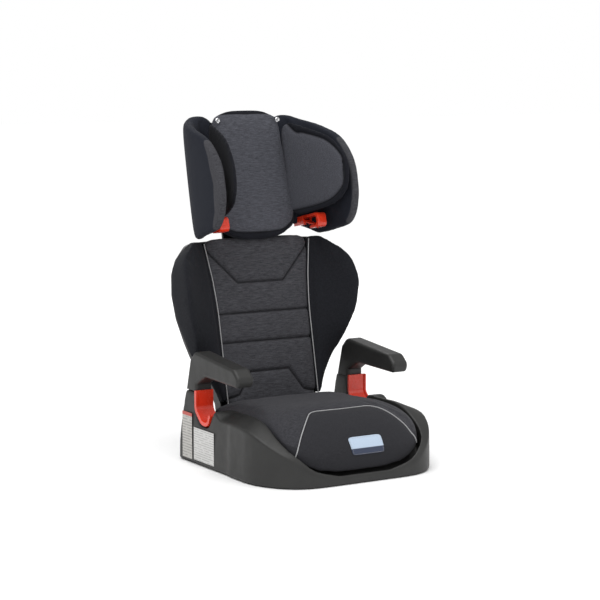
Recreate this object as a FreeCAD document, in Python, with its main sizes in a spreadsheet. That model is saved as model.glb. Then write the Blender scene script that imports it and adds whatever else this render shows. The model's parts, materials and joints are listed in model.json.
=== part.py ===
import FreeCAD, Part
import math
import os

import Sketcher
from FreeCAD import Placement, Rotation, Vector

# A high-back child booster seat. +Z is up, the child faces -Y, and +X is the child's left. The origin lies
# on the ground under the middle of the base. Backrest and headrest are drawn upright in a frame of their
# own, whose origin is the recline hinge, and are then leaned back by a Placement. There x is across, y
# towards the vehicle seat and z up.

SIZES = [
    ("base_half_width", 216, "half the width of the base"),
    ("base_rear", 215, "ground edge of the base behind the origin"),
    ("base_front", 206, "front edge of the base ahead of the origin"),
    ("front_corner", 90, "how far the rounded front corners reach along the side"),
    ("shell_wall", 4, "wall of the moulded base, back and headrest shells"),
    ("deck_height", 60, "top of the deck that carries the seat foam"),
    ("cheek_height", 128, "top of the base beside the cushion"),
    ("front_lip", 24, "top of the base at the middle of the front edge"),
    ("parting_height", 158, "joint between base and armrest"),
    ("post_front", 133, "front edge of the rear post"),
    ("post_rear", 179, "rear edge of the rear post at the parting"),
    ("arm_width", 40, "width of an armrest"),
    ("arm_inset", 4, "outer side of an armrest inside the side of the base"),
    ("arm_top", 243, "top of an armrest at its rear"),
    ("arm_thickness", 44, "height of an armrest's beam"),
    ("arm_reach", 50, "front end of an armrest ahead of the origin"),
    ("cushion_gap", 5, "gap between the cushion and the inner side of the armrests"),
    ("cushion_height", 142, "crest of the seat cushion"),
    ("foam_height", 94, "top of the seat's foam core"),
    ("pivot_rear", 185, "recline hinge behind the origin"),
    ("pivot_height", 75, "recline hinge above the ground"),
    ("recline", 11.9, "lean of the backrest, degrees"),
    ("pin_radius", 5, "radius of the recline hinge pin"),
    ("running_fit", 0.05, "radial clearance of a pin in its bore"),
    ("pad_face", 29, "front of the backrest pad ahead of the hinge plane"),
    ("back_rear", 21, "rear of the back shell behind the hinge plane"),
    ("back_top", 400, "top of the backrest above the hinge"),
    ("back_half_width", 222, "half the width across the backrest wings"),
    ("hinge_space", 45, "from the inner side of an armrest to the foot of the backrest"),
    ("wing_depth", 71, "how far the backrest wings stand ahead of the pad"),
    ("slider_half_width", 69, "half the width of the headrest slider"),
    ("slider_thickness", 6, "thickness of the headrest slider"),
    ("lift", 150, "height adjustment of the headrest"),
    ("lift_pitch", 25, "pitch of the height rack"),
    ("head_face", 44, "front of the headrest pad ahead of the hinge plane"),
    ("head_low", 391, "lowest point of the headrest pad above the hinge"),
    ("head_top", 681, "top of the headrest above the hinge"),
    ("head_half_width", 174, "half the width across the headrest wings"),
    ("head_reach", 201, "front of the headrest wings ahead of the hinge plane"),
    ("wing_thickness", 24, "thickness of a padded headrest wing"),
    ("cheek_thickness", 12, "thickness of an inner cheek pad"),
    ("lever_height", 462, "height lever's pin above the recline hinge"),
    ("lever_pin_radius", 2, "radius of the height lever's pin"),
    ("stud_radius", 6.3, "radius of a snap fastener's cap"),
]

doc = FreeCAD.newDocument("booster_seat")
sheet = doc.addObject("Spreadsheet::Sheet", "Sizes")
for row, (alias, value, meaning) in enumerate(SIZES, start=1):
    sheet.set("A%d" % row, meaning)
    sheet.set("B%d" % row, str(value))
    sheet.setAlias("B%d" % row, alias)
doc.recompute()
D = {alias: float(sheet.get(alias)) for alias, value, meaning in SIZES}

ACROSS = Vector(1, 0, 0)
FOOT = "(base_half_width - arm_inset - arm_width - hinge_space)"  # half the width of the backrest's foot
GAP = 0.4  # clearance between neighbouring pieces
NODES = []


def sized(text):
    """An expression with every size name turned into a reference to the sheet."""
    words = sorted(D, key=len, reverse=True)
    for number, word in enumerate(words):
        text = text.replace(word, "@%d@" % number)
    for number, word in enumerate(words):
        text = text.replace("@%d@" % number, "Sizes." + word)
    return text


def value_of(text):
    """The number that an expression of sizes gives."""
    result = sheet.evalExpression(sized(text))
    return float(getattr(result, "Value", result))


def leaned(obj):
    """Leans a piece of the backrest or headrest back about the recline hinge."""
    obj.Placement = Placement(Vector(0, D["pivot_rear"], D["pivot_height"]), Rotation(ACROSS, -D["recline"]))
    return obj


def node(obj, label, lean=False):
    """Registers a finished piece under its label."""
    obj.Label = label
    if lean:
        leaned(obj)
    NODES.append(obj)
    return obj


def feature(label, shape, lean=False):
    """A piece with a free shape."""
    obj = doc.addObject("Part::Feature", label)
    obj.Shape = shape
    return node(obj, label, lean)


def bound(kind, name, properties, base=("0", "0", "0"), turn=None):
    """A Part primitive whose sizes and position are expressions of the sheet."""
    obj = doc.addObject(kind, name)
    if turn:
        obj.Placement = Placement(Vector(0, 0, 0), turn)
    for prop, text in properties.items():
        obj.setExpression(prop, sized(text))
    for axis, text in zip("xyz", base):
        obj.setExpression("Placement.Base." + axis, sized(text))
    return obj


# ---------------------------------------------------------------- outlines

def rounded(corners, place):
    """A closed wire through corners (a, b, radius); place turns (a, b) into a point."""
    ends = []
    for index, (a, b, radius) in enumerate(corners):
        here = Vector(a, b, 0)
        before = Vector(corners[index - 1][0], corners[index - 1][1], 0) - here
        after_corner = corners[(index + 1) % len(corners)]
        after = Vector(after_corner[0], after_corner[1], 0) - here
        if radius <= 0:
            ends.append((here, None, here))
            continue
        half_turn = before.getAngle(after) / 2
        reach = min(radius / math.tan(half_turn), 0.48 * min(before.Length, after.Length))
        radius = reach * math.tan(half_turn)
        before.normalize()
        after.normalize()
        inward = (before + after).normalize()
        middle = here + inward * (radius / math.sin(half_turn) - radius)
        ends.append((here + before * reach, middle, here + after * reach))
    edges = []
    for index, (start, middle, end) in enumerate(ends):
        if middle is not None:
            edges.append(Part.Arc(place(start), place(middle), place(end)).toShape())
        following = ends[(index + 1) % len(ends)][0]
        if end.distanceToPoint(following) > 1e-4:
            edges.append(Part.LineSegment(place(end), place(following)).toShape())
    return Part.Wire(edges)


def side_prism(corners, low, high):
    """A (y, z) outline extruded from x = low to x = high."""
    wire = rounded(corners, lambda p: Vector(low, p.x, p.y))
    return Part.Face(wire).extrude(Vector(high - low, 0, 0))


def front_prism(corners, low, high):
    """An (x, z) outline extruded from y = low to y = high."""
    wire = rounded(corners, lambda p: Vector(p.x, low, p.y))
    return Part.Face(wire).extrude(Vector(0, high - low, 0))


def plan_prism(corners, low, high, grow=0.0):
    """An (x, y) outline, grown outwards, extruded from z = low to z = high."""
    wire = rounded(corners, lambda p: Vector(p.x, p.y, low))
    if grow:
        wire = wire.makeOffset2D(grow, 2)
    return Part.Face(wire).extrude(Vector(0, 0, high - low))


def mirrored(half):
    """A full outline from its right half, listed from the bottom centre to the top centre."""
    return half + [(-a, b, r) for a, b, r in reversed(half)]


def block(x0, x1, y0, y1, z0, z1):
    """A box between two corners."""
    return Part.makeBox(x1 - x0, y1 - y0, z1 - z0, Vector(x0, y0, z0))


def rod(radius, low, high, y, z):
    """A cylinder along X."""
    return Part.makeCylinder(radius, high - low, Vector(low, y, z), ACROSS)


def swapped(shape):
    """The same shape on the other side."""
    return shape.mirror(Vector(0, 0, 0), ACROSS)


def pair(name, shape, lean=False):
    """A left piece and its mirror image, as two nodes."""
    feature(name + "_left", shape, lean)
    feature(name + "_right", swapped(shape), lean)


# ---------------------------------------------------------------- PartDesign bodies

def add_outline(body, name, plane, corners, start="0"):
    """A sketch of straight lines whose corners are bound to expressions of the sheet."""
    sketch = body.newObject("Sketcher::SketchObject", name)
    sketch.AttachmentSupport = [(next(f for f in body.Origin.OriginFeatures if f.Role == plane), "")]
    sketch.MapMode = "FlatFace"
    sketch.setExpression("AttachmentOffset.Base.z", sized(start))
    points = [Vector(value_of(a), value_of(b), 0) for a, b in corners]
    for index, point in enumerate(points):
        sketch.addGeometry(Part.LineSegment(point, points[(index + 1) % len(points)]), False)
    for index, point in enumerate(points):
        following = (index + 1) % len(points)
        sketch.addConstraint(Sketcher.Constraint("Coincident", index, 2, following, 1))
    for index, (a, b) in enumerate(corners):
        for kind, text in (("DistanceX", a), ("DistanceY", b)):
            number = sketch.addConstraint(Sketcher.Constraint(kind, -1, 1, index, 1, value_of(text)))
            sketch.setExpression("Constraints[%d]" % number, sized(text))
    return sketch


def add_circle(body, name, plane, centre, radius, start="0"):
    """A sketch of one circle bound to expressions of the sheet."""
    sketch = body.newObject("Sketcher::SketchObject", name)
    sketch.AttachmentSupport = [(next(f for f in body.Origin.OriginFeatures if f.Role == plane), "")]
    sketch.MapMode = "FlatFace"
    sketch.setExpression("AttachmentOffset.Base.z", sized(start))
    middle = Vector(value_of(centre[0]), value_of(centre[1]), 0)
    sketch.addGeometry(Part.Circle(middle, Vector(0, 0, 1), value_of(radius)), False)
    for kind, text in (("DistanceX", centre[0]), ("DistanceY", centre[1])):
        number = sketch.addConstraint(Sketcher.Constraint(kind, -1, 1, 0, 3, value_of(text)))
        sketch.setExpression("Constraints[%d]" % number, sized(text))
    number = sketch.addConstraint(Sketcher.Constraint("Radius", 0, value_of(radius)))
    sketch.setExpression("Constraints[%d]" % number, sized(radius))
    return sketch


def add_pad(body, sketch, length, midplane=False):
    """Pads a sketch by a bound length."""
    pad = body.newObject("PartDesign::Pad", sketch.Name + "_pad")
    pad.Profile = sketch
    pad.Midplane = midplane
    pad.setExpression("Length", sized(length))
    doc.recompute()
    return pad


def add_through_cut(body, sketch):
    """Pockets a sketch through everything, both ways."""
    before = body.Shape.Volume
    pocket = body.newObject("PartDesign::Pocket", sketch.Name + "_cut")
    pocket.Profile = sketch
    pocket.Midplane = True
    pocket.Type = "Length"
    pocket.Length = 2000
    doc.recompute()
    if body.Shape.Volume >= before - 1e-6:
        raise RuntimeError(sketch.Name + " cuts nothing")
    return pocket


def add_fillet(body, chosen, radius):
    """Fillets the edges of the body's tip for which chosen(edge) is true."""
    tip = body.Tip
    names = ["Edge%d" % (i + 1) for i, edge in enumerate(tip.Shape.Edges) if chosen(edge)]
    fillet = body.newObject("PartDesign::Fillet", body.Name + "_round")
    fillet.Base = (tip, names)
    fillet.Radius = radius
    doc.recompute()
    return fillet


def along(direction):
    """Chooses straight edges that run along a direction."""
    def chosen(edge):
        if edge.Curve.TypeId != "Part::GeomLine":
            return False
        return abs(abs(edge.Curve.Direction.dot(direction)) - 1) < 1e-6
    return chosen


# ---------------------------------------------------------------- base

arm_outer = D["base_half_width"] - D["arm_inset"]
arm_inner = arm_outer - D["arm_width"]
cushion_half = arm_inner - D["cushion_gap"]
well_half = arm_inner - 2
wall = D["shell_wall"]
ground = 1.2
cover_thickness = 3.0
corner_start = -(D["base_front"] - 1.12 * D["front_corner"])
lean_of_post = (D["base_rear"] - D["post_rear"]) / D["parting_height"]


def footprint(inset=0.0):
    """The base's outline on the ground: square behind, with wide rounded corners in front."""
    half, rear, front = D["base_half_width"] - inset, D["base_rear"] - inset, D["base_front"] - inset
    reach = D["front_corner"]
    corners = [(half - 4, rear, 8), (half, rear - 14, 12), (half, corner_start, 60)]
    corners += [(half - 0.10 * reach, corner_start - 0.30 * reach, 50)]
    corners += [(half - 0.30 * reach, corner_start - 0.62 * reach, 50)]
    corners += [(half - 0.63 * reach, corner_start - 0.92 * reach, 40), (half - 1.15 * reach, -front, 60)]
    return corners + [(-a, b, r) for a, b, r in reversed(corners)]


def flank(drop=0.0, bottom=None):
    """The base seen from the side, lowered by drop: post, belt opening, cheek and falling front lip."""
    low = ground if bottom is None else bottom
    cheek, post = D["cheek_height"] - drop, D["parting_height"] - drop
    front, lip = D["base_front"], D["front_lip"] - drop
    opening = D["post_front"]
    rear_at_post = D["post_rear"] + lean_of_post * drop - drop
    return [
        (D["base_rear"] + 2 - drop, low, 0), (rear_at_post, post, 0), (opening + drop, post, 0),
        (opening + drop, 0.92 * D["cheek_height"] - drop, 24), (opening - 30, cheek - 38, 26),
        (opening - 59, cheek - 38, 20), (opening - 77, cheek, 10),
        (-0.30 * front, cheek, 80), (-0.58 * front, cheek - 21, 60), (-0.77 * front, cheek - 43, 40),
        (-0.905 * front, cheek - 61, 20), (-front - 5, lip, 0), (-front - 5, low, 0),
    ]


def deck_line(drop=0.0, above=600.0):
    """Everything above the deck, seen from the side; drop lowers it to the deck's underside."""
    deck, front = D["deck_height"] - drop, D["base_front"]
    bay = 24 - drop
    bay_front = D["pivot_rear"] - 41 - drop
    return [
        (D["pivot_rear"] + 15 + drop, bay, 0), (bay_front, bay, 0), (bay_front, deck, 0),
        (-0.60 * front, deck, 20), (-front + 9 + 2 * wall - drop, D["front_lip"] - 16 - drop, 0),
        (-front + 9 - drop, D["front_lip"] - 16 - drop, 0), (-front + 9 - drop, above, 0),
        (D["pivot_rear"] + 15 + drop, above, 0),
    ]


def base_shell():
    """The tub: outer wall, shoulders, a well for the cushion and a bay for the hinge, hollow from below."""
    reach = D["base_half_width"] + 10
    outer = plan_prism(footprint(), ground, 400).common(side_prism(flank(), -reach, reach))
    well_plan = plan_prism(footprint(wall + 2), 0, 600)
    well = side_prism(deck_line(), -well_half, well_half).common(well_plan)
    hollow = plan_prism(footprint(wall), ground - 1, 400)
    hollow = hollow.common(side_prism(flank(drop=wall, bottom=ground - 1), -reach, reach))
    kept_well = side_prism(deck_line(drop=wall), -well_half - wall, well_half + wall)
    kept_well = kept_well.common(plan_prism(footprint(2), -1, 600))
    body = outer.cut(well).cut(hollow.cut(kept_well))
    behind_bay = block(-well_half, well_half, D["pivot_rear"] + 14, D["base_rear"] + 30, 40, 600)
    body = body.cut(behind_bay)
    for x, y in boss_places():
        foot_of_boss = cover_thickness + 0.2
        boss = Part.makeCylinder(7, D["deck_height"] - wall / 2 - foot_of_boss, Vector(x, y, foot_of_boss))
        body = body.fuse(boss)
    for x, y in boss_places():
        body = body.cut(Part.makeCylinder(1.7, 30, Vector(x, y, 0)))
    for x in (-1, 1):
        for y in screw_rows():
            place = Vector(x * (arm_outer + arm_inner) / 2, y, D["parting_height"] - 30)
            body = body.cut(Part.makeCylinder(2.2, 40, place))
    return body.removeSplitter()


def boss_places():
    """Where the bottom cover is screwed on."""
    x = 0.6 * D["base_half_width"]
    return [(sx * x, y) for sx in (-1, 1) for y in (0.45 * D["base_rear"], -0.5 * D["base_front"])]


def screw_rows():
    """Where the armrest screws stand along the post."""
    middle = (D["post_front"] + D["post_rear"]) / 2
    return (middle - 10, middle + 9)


feature("base_shell", base_shell())

cover = plan_prism(footprint(wall + 3), 0, cover_thickness)
pad_rows = (0.7 * D["base_rear"], -0.42 * D["base_front"])
pads = [(sx * 0.72 * D["base_half_width"], sy) for sx in (-1, 1) for sy in pad_rows]
for x, y in pads:
    cover = cover.cut(Part.makeCylinder(15, 2.0, Vector(x, y, 0)))
for x, y in boss_places():
    cover = cover.cut(Part.makeCylinder(1.8, 10, Vector(x, y, -1)))
    cover = cover.cut(Part.makeCylinder(4.2, 2.0, Vector(x, y, 0)))
feature("bottom_cover", cover)

grips = []
for number, (x, y) in enumerate(pads):
    grip = doc.addObject("Part::Cylinder", "grip_pad_%d" % number)
    grip.Radius = 14.5
    grip.Height = 1.95
    grip.Placement.Base = Vector(x, y, 0.0)
    grips.append(grip)
group = doc.addObject("Part::Compound", "anti_slip_pads")
group.Links = grips
node(group, "anti_slip_pads")


def screw_group(name, places, head, shank, head_length, length, turn=None, lean=False):
    """A group of pan-head screws: each place is where the head's inner face sits; the shank runs along +Z."""
    screws = []
    for number, place in enumerate(places):
        top = doc.addObject("Part::Cylinder", "%s_head_%d" % (name, number))
        top.Radius, top.Height = head, head_length
        top.Placement.Base = Vector(0, 0, -head_length)
        stem = doc.addObject("Part::Cylinder", "%s_shank_%d" % (name, number))
        stem.Radius, stem.Height = shank, length
        screw = doc.addObject("Part::Fuse", "%s_%d" % (name, number))
        screw.Base, screw.Tool = top, stem
        screw.Placement = Placement(place, turn or Rotation())
        screws.append(screw)
    whole = doc.addObject("Part::Compound", name)
    whole.Links = screws
    return node(whole, name, lean)


screw_group("bottom_screws", [Vector(x, y, 1.95) for x, y in boss_places()], 4.0, 1.65, 1.5, 24)
arm_middle = (arm_outer + arm_inner) / 2
arm_seats = [Vector(s * arm_middle, y, D["parting_height"] - wall) for s in (-1, 1) for y in screw_rows()]
screw_group("armrest_screws", arm_seats, 3.8, 2.0, 2.5, wall + 14)


def armrest(name, start):
    """A moulded armrest: a rear post that grows into a beam with a rounded nose, hollow inside."""
    body = doc.addObject("PartDesign::Body", name)
    outline = add_outline(body, name + "_outline", "YZ_Plane", [
        ("post_rear", "parting_height"), ("post_rear - 18", "arm_top - 20"), ("post_rear - 38", "arm_top"),
        ("-arm_reach + 22", "arm_top - 16"), ("-arm_reach", "arm_top - 20 - arm_thickness * 0.35"),
        ("-arm_reach + 7", "arm_top - 10 - arm_thickness"),
        ("post_front - 36", "arm_top - 6 - arm_thickness"),
        ("post_front", "parting_height + 14"), ("post_front", "parting_height"),
    ], start)
    add_pad(body, outline, "arm_width")
    corner = {D["arm_top"]: 20, D["arm_top"] - 16: 20, D["arm_top"] - 6 - D["arm_thickness"]: 22}
    for height, radius in corner.items():
        add_fillet(body, lambda e: along(ACROSS)(e) and abs(e.CenterOfMass.z - height) < 0.01, radius)
    low_nose = D["arm_top"] - 10 - D["arm_thickness"]
    add_fillet(body, lambda e: along(ACROSS)(e) and abs(e.CenterOfMass.z - low_nose) < 0.01, 8)
    nose = D["arm_top"] - 20 - D["arm_thickness"] * 0.35
    add_fillet(body, lambda e: along(ACROSS)(e) and abs(e.CenterOfMass.z - nose) < 0.01, 14)
    low, high = value_of(start), value_of(start) + D["arm_width"]

    def rim(edge):
        box = edge.BoundBox
        flat = box.XLength < 1e-3 and (abs(box.XMin - low) < 1e-3 or abs(box.XMin - high) < 1e-3)
        return flat and edge.CenterOfMass.z > D["parting_height"] + 0.5
    add_fillet(body, rim, 7)
    inside = add_outline(body, name + "_inside", "YZ_Plane", [
        ("post_rear - 8", "parting_height + 6"), ("post_rear - 24", "arm_top - 24"),
        ("post_rear - 42", "arm_top - 6"),
        ("-arm_reach + 24", "arm_top - 24"), ("-arm_reach + 14", "arm_top - 3 - arm_thickness"),
        ("post_front - 28", "arm_top + 1 - arm_thickness"), ("post_front + 6", "parting_height + 18"),
        ("post_front + 6", "parting_height + 6"),
    ], start + " + arm_width / 2")
    pocket = body.newObject("PartDesign::Pocket", name + "_hollow")
    pocket.Profile = inside
    pocket.Midplane = True
    pocket.Type = "Length"
    pocket.setExpression("Length", sized("arm_width - 10"))
    doc.recompute()
    for number, y in enumerate(screw_rows()):
        hole = add_circle(body, "%s_hole_%d" % (name, number), "XY_Plane",
                          (start + " + arm_width / 2", str(y)), "2.2", "parting_height")
        cut = body.newObject("PartDesign::Pocket", "%s_hole_cut_%d" % (name, number))
        cut.Profile = hole
        cut.Type = "Length"
        cut.Midplane = True
        cut.Length = 20
        doc.recompute()
    node(body, name)


armrest("armrest_left", "base_half_width - arm_inset - arm_width")
armrest("armrest_right", "-base_half_width + arm_inset")


def lap_belt_guide():
    """A curved liner of the belt opening: it follows the post's front and the hollow, with an outer lip."""
    opening, cheek = D["post_front"] - 0.2, D["cheek_height"]
    thick = 5.0

    def band(inner):
        return [
            (opening - inner, cheek + 32, 0), (opening - inner, 0.92 * cheek + inner / 2, 24 - inner),
            (opening - 30 - inner * 0.4, cheek - 37.8 + inner, 26 - inner),
            (opening - 59 + inner * 0.3, cheek - 37.8 + inner, 20), (opening - 70 + inner, cheek - 12, 3),
        ]
    outline = band(0) + list(reversed(band(thick)))
    liner = side_prism(outline, arm_inner + 0.5, arm_outer + 4 - 1.5)
    lip = side_prism(outline[:5] + list(reversed(band(thick + 3))), arm_outer + 0.5, arm_outer + 4)
    return liner.fuse(lip).removeSplitter()


pair("lap_belt_guide", lap_belt_guide())

foam_rear = D["pivot_rear"] - D["pad_face"] - 8
foam = block(-cushion_half + 14, cushion_half - 14, -0.6 * D["base_front"], foam_rear - 8,
             D["deck_height"] + 0.3, D["foam_height"])
feature("seat_foam_core", foam)


def seat_cushion():
    """The padded seat: a crowned slab over the foam core, with a front apron."""
    lean = math.tan(math.radians(D["recline"]))
    rear_low = D["pivot_rear"] - D["pad_face"] - 5
    top, front = D["cushion_height"], D["base_front"] - 15
    low = D["foam_height"] + GAP
    profile = [
        (rear_low, low, 0), (rear_low + (top - 18 - low) * lean, top - 18, 8), (0.15 * front, top - 9, 200),
        (-0.55 * front, top, 60), (-front + 3, top - 40, 30), (-front, D["front_lip"] + 10, 10),
        (-front + 3, D["front_lip"] - 1, 4), (-0.62 * front - 8, D["deck_height"] + 6, 10),
        (-0.64 * front - 8, low, 0),
    ]
    slab = side_prism(profile, -cushion_half, cushion_half)
    half = [(cushion_half, rear_low + 30, 0), (cushion_half, -0.50 * front, 90),
            (cushion_half - 16, -0.94 * front, 40), (cushion_half - 58, -front - 1, 50)]
    plan = plan_prism(half + [(-a, b, r) for a, b, r in reversed(half)], 0, top + 20)
    return slab.common(plan).removeSplitter()


feature("seat_cushion", seat_cushion())


def front_badge():
    """A generic sewn-on badge: a slanting plate on the apron."""
    low, high = D["front_lip"] + 32, D["front_lip"] + 68
    front = D["base_front"] - 15
    corners = [(-22, low, 4), (56, low, 4), (50, high, 4), (-30, high, 4)]
    plate = front_prism(corners, -front - 2.2, -front - 0.7)
    return plate


feature("front_badge", front_badge())

for label, rear, length, low, height in (("side_label_small", "-0.87 * base_rear", "43", "9", "100"),
                                         ("side_label_large", "-0.63 * base_rear", "88", "11", "70")):
    label_plate = bound("Part::Box", label, {"Length": "0.5", "Width": length, "Height": height},
                        ("-base_half_width - 0.5", "%s - %s" % (rear.replace("-", "", 1), length), low))
    node(label_plate, label)

for side, start in (("left", FOOT + " + 3"), ("right", "-" + FOOT + " - 13")):
    bracket = doc.addObject("PartDesign::Body", "hinge_bracket_" + side)
    web = add_outline(bracket, "bracket_%s_outline" % side, "YZ_Plane", [
        ("pivot_rear - 34", "24.3"), ("pivot_rear + 13", "24.3"), ("pivot_rear + 12", "pivot_height + 12"),
        ("pivot_rear - 12", "pivot_height + 12"),
    ], start)
    add_pad(bracket, web, "10")
    add_fillet(bracket, lambda e: along(ACROSS)(e) and e.CenterOfMass.z > D["pivot_height"], 9)
    bore = add_circle(bracket, "bracket_%s_bore" % side, "YZ_Plane", ("pivot_rear", "pivot_height"),
                      "pin_radius + running_fit", start)
    add_through_cut(bracket, bore)
    node(bracket, "hinge_bracket_" + side)

pin = bound("Part::Cylinder", "hinge_pin", {"Radius": "pin_radius", "Height": "2 * " + FOOT + " + 34"},
            ("-" + FOOT + " - 17", "pivot_rear", "pivot_height"), Rotation(Vector(0, 1, 0), 90))
node(pin, "hinge_pin")

# ---------------------------------------------------------------- backrest

pad_back = 5.0
top = D["back_top"]
wide = D["back_half_width"]
foot = value_of(FOOT)
# Each level of the backrest's side: share of its height, of the widening from its foot, and of wing depth.
LEVELS = [(0.10, 0.00, 0.00), (0.20, 0.18, 0.00), (0.31, 0.47, 0.02), (0.36, 0.62, 0.15), (0.45, 0.77, 0.53),
          (0.58, 0.94, 0.86), (0.71, 1.00, 1.00), (0.825, 0.94, 0.86), (0.90, 0.78, 0.59), (0.98, 0.41, 0.22)]


def seam_half(level):
    """Half the width of the centre pad at a share of the backrest's height."""
    return 0.52 * wide + 0.09 * wide * max(0.0, level - 0.55) / 0.45


centre_half = [(seam_half(0), 24, 4), (seam_half(0.55), 0.55 * top, 200), (seam_half(0.8), 0.8 * top, 100),
               (seam_half(0.97), 0.965 * top, 18), (seam_half(0.97) - 30, top, 30)]
feature("back_center_pad", front_prism(mirrored(centre_half), -D["pad_face"], -pad_back), lean=True)


def back_wing():
    """A side bolster: sections at several heights, each from the centre seam to a rim that stands forward."""
    wires = []
    for level, widening, depth in LEVELS:
        inner = seam_half(level) + 0.8
        outer = max(foot + widening * (wide - foot), inner + 6)
        rim = -D["pad_face"] - depth * D["wing_depth"]
        span = outer - inner
        middle = -D["pad_face"] + 0.55 * (rim + D["pad_face"])
        section = [(inner, -D["pad_face"]), (inner + 0.55 * span, middle),
                   (inner + 0.88 * span, rim), (outer - 0.02 * span, rim + 5),
                   (outer, -12), (outer - 0.04 * span, -pad_back), (inner, -pad_back)]
        points = [Vector(u, v, level * top) for u, v in section]
        wires.append(Part.makePolygon(points + points[:1]))
    return Part.makeLoft(wires, True, True)


pair("back_wing_pad", back_wing(), lean=True)

channel = D["slider_half_width"] + 1
barrel_radius = D["pin_radius"] + 7
shell_inner = D["back_rear"] - wall


def back_shell():
    """The moulded back: a pan with side walls, a channel for the slider and two barrels on the hinge pin."""
    side = [(foot - 5, -14, 8), (foot - 5, 0.10 * top, 20)]
    spread = wide - foot - 16
    side += [(foot + widening * spread - 5, level * top, 30) for level, widening, depth in LEVELS[1:-1]]
    side += [(foot + 0.41 * spread - 5, 0.985 * top, 25), (0.5 * wide, 0.99 * top, 0)]
    pan = front_prism(mirrored(side), -pad_back + GAP, D["back_rear"])
    wire = rounded(mirrored(side), lambda p: Vector(p.x, -pad_back - 1, p.y)).makeOffset2D(-wall, 2)
    pan = pan.cut(Part.Face(wire).extrude(Vector(0, shell_inner + pad_back + 1, 0)))
    for s in (-1, 1):
        x0, x1 = sorted((s * channel, s * (channel + wall)))
        pan = pan.fuse(block(x0, x1, -pad_back + GAP, shell_inner + 1, 20, 0.985 * top))
        for share in (0.42, 0.62, 0.8):
            x0, x1 = sorted((s * (channel + 1), s * (wide * 0.72)))
            pan = pan.fuse(block(x0, x1, 0, shell_inner + 1, share * top - 1.5, share * top + 1.5))
        x0, x1 = sorted((s * (foot - 47), s * (foot - 2)))
        pan = pan.fuse(rod(barrel_radius, x0, x1, 0, 0))
        pan = pan.fuse(block(x0, x1, 0, shell_inner + 1, -barrel_radius + 2, barrel_radius - 2))
    pan = pan.cut(block(-channel, channel, -pad_back - 1, shell_inner, 0.95 * top, top + 20))
    pan = pan.cut(rod(D["pin_radius"] + D["running_fit"], -wide, wide, 0, 0))
    return pan.removeSplitter()


feature("back_shell", back_shell(), lean=True)

steps = int(D["lift"] / D["lift_pitch"]) + 1
rack = doc.addObject("PartDesign::Body", "height_rack")
strip = add_outline(rack, "rack_strip", "XZ_Plane", [
    ("-14", "0.5 * back_top - 14"), ("14", "0.5 * back_top - 14"), ("14", "0.5 * back_top + lift + 20"),
    ("-14", "0.5 * back_top + lift + 20"),
], "-(back_rear - shell_wall)")
add_pad(rack, strip, "3.5")
notch = add_outline(rack, "rack_notch", "XZ_Plane", [
    ("-10", "0.5 * back_top - 1"), ("10", "0.5 * back_top - 1"), ("10", "0.5 * back_top + 13"),
    ("-10", "0.5 * back_top + 13"),
], "-(back_rear - shell_wall - 1)")
notch_cut = rack.newObject("PartDesign::Pocket", "rack_notch_cut")
notch_cut.Profile = notch
notch_cut.Type = "Length"
notch_cut.Length = 5
notch_cut.Reversed = True
doc.recompute()
teeth = rack.newObject("PartDesign::LinearPattern", "rack_notches")
teeth.Originals = [notch_cut]
teeth.Direction = (strip, ["V_Axis"])
teeth.Length = D["lift_pitch"] * (steps - 1)
teeth.Occurrences = steps
rack.Tip = teeth
doc.recompute()
node(rack, "height_rack", lean=True)

# ---------------------------------------------------------------- headrest

slider = doc.addObject("PartDesign::Body", "headrest_slider")
plate = add_outline(slider, "slider_plate", "XZ_Plane", [
    ("-slider_half_width", "0.5 * back_top - 70"), ("slider_half_width", "0.5 * back_top - 70"),
    ("slider_half_width", "head_top - 60"), ("slider_half_width - 20", "head_top - 40"),
    ("-slider_half_width + 20", "head_top - 40"), ("-slider_half_width", "head_top - 60"),
])
plate_pad = slider.newObject("PartDesign::Pad", "slider_plate_pad")
plate_pad.Profile = plate
plate_pad.Reversed = True
plate_pad.setExpression("Length", sized("slider_thickness"))
doc.recompute()
ears = {}
for side, start in (("left", "18"), ("right", "-22")):
    ear = add_outline(slider, "slider_ear_" + side, "YZ_Plane", [
        ("slider_thickness - 0.5", "lever_height - 10"), ("slider_thickness + 6", "lever_height - 8"),
        ("slider_thickness + 12", "lever_height"), ("slider_thickness + 6", "lever_height + 8"),
        ("slider_thickness - 0.5", "lever_height + 10"),
    ], start)
    add_pad(slider, ear, "4")
bore = add_circle(slider, "slider_ear_bore", "YZ_Plane", ("slider_thickness + 6", "lever_height"),
                  "lever_pin_radius + running_fit")
add_through_cut(slider, bore)
window = add_outline(slider, "slider_window", "XZ_Plane", [
    ("-15.5", "0.5 * back_top - 0.5"), ("15.5", "0.5 * back_top - 0.5"), ("15.5", "0.5 * back_top + 12.5"),
    ("-15.5", "0.5 * back_top + 12.5"),
])
add_through_cut(slider, window)
slider_screws = [(sx * 40, z) for sx in (-1, 1) for z in (D["head_top"] - 180, D["head_top"] - 90)]
for number, (x, z) in enumerate(slider_screws):
    hole = add_circle(slider, "slider_screw_hole_%d" % number, "XZ_Plane", (str(x), str(z)), "2.2")
    add_through_cut(slider, hole)
node(slider, "headrest_slider", lean=True)


def head_region(inset, low, high):
    """Everything between the headrest's wings and ahead of its back, inset from its outer surface."""
    half = D["head_half_width"]
    corners = [(half, -600, 0), (half, -65, 40), (half - 62, 3, 25)]
    corners += [(-a, b, r) for a, b, r in reversed(corners)]
    return plan_prism(corners, low, high, -inset)


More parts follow.
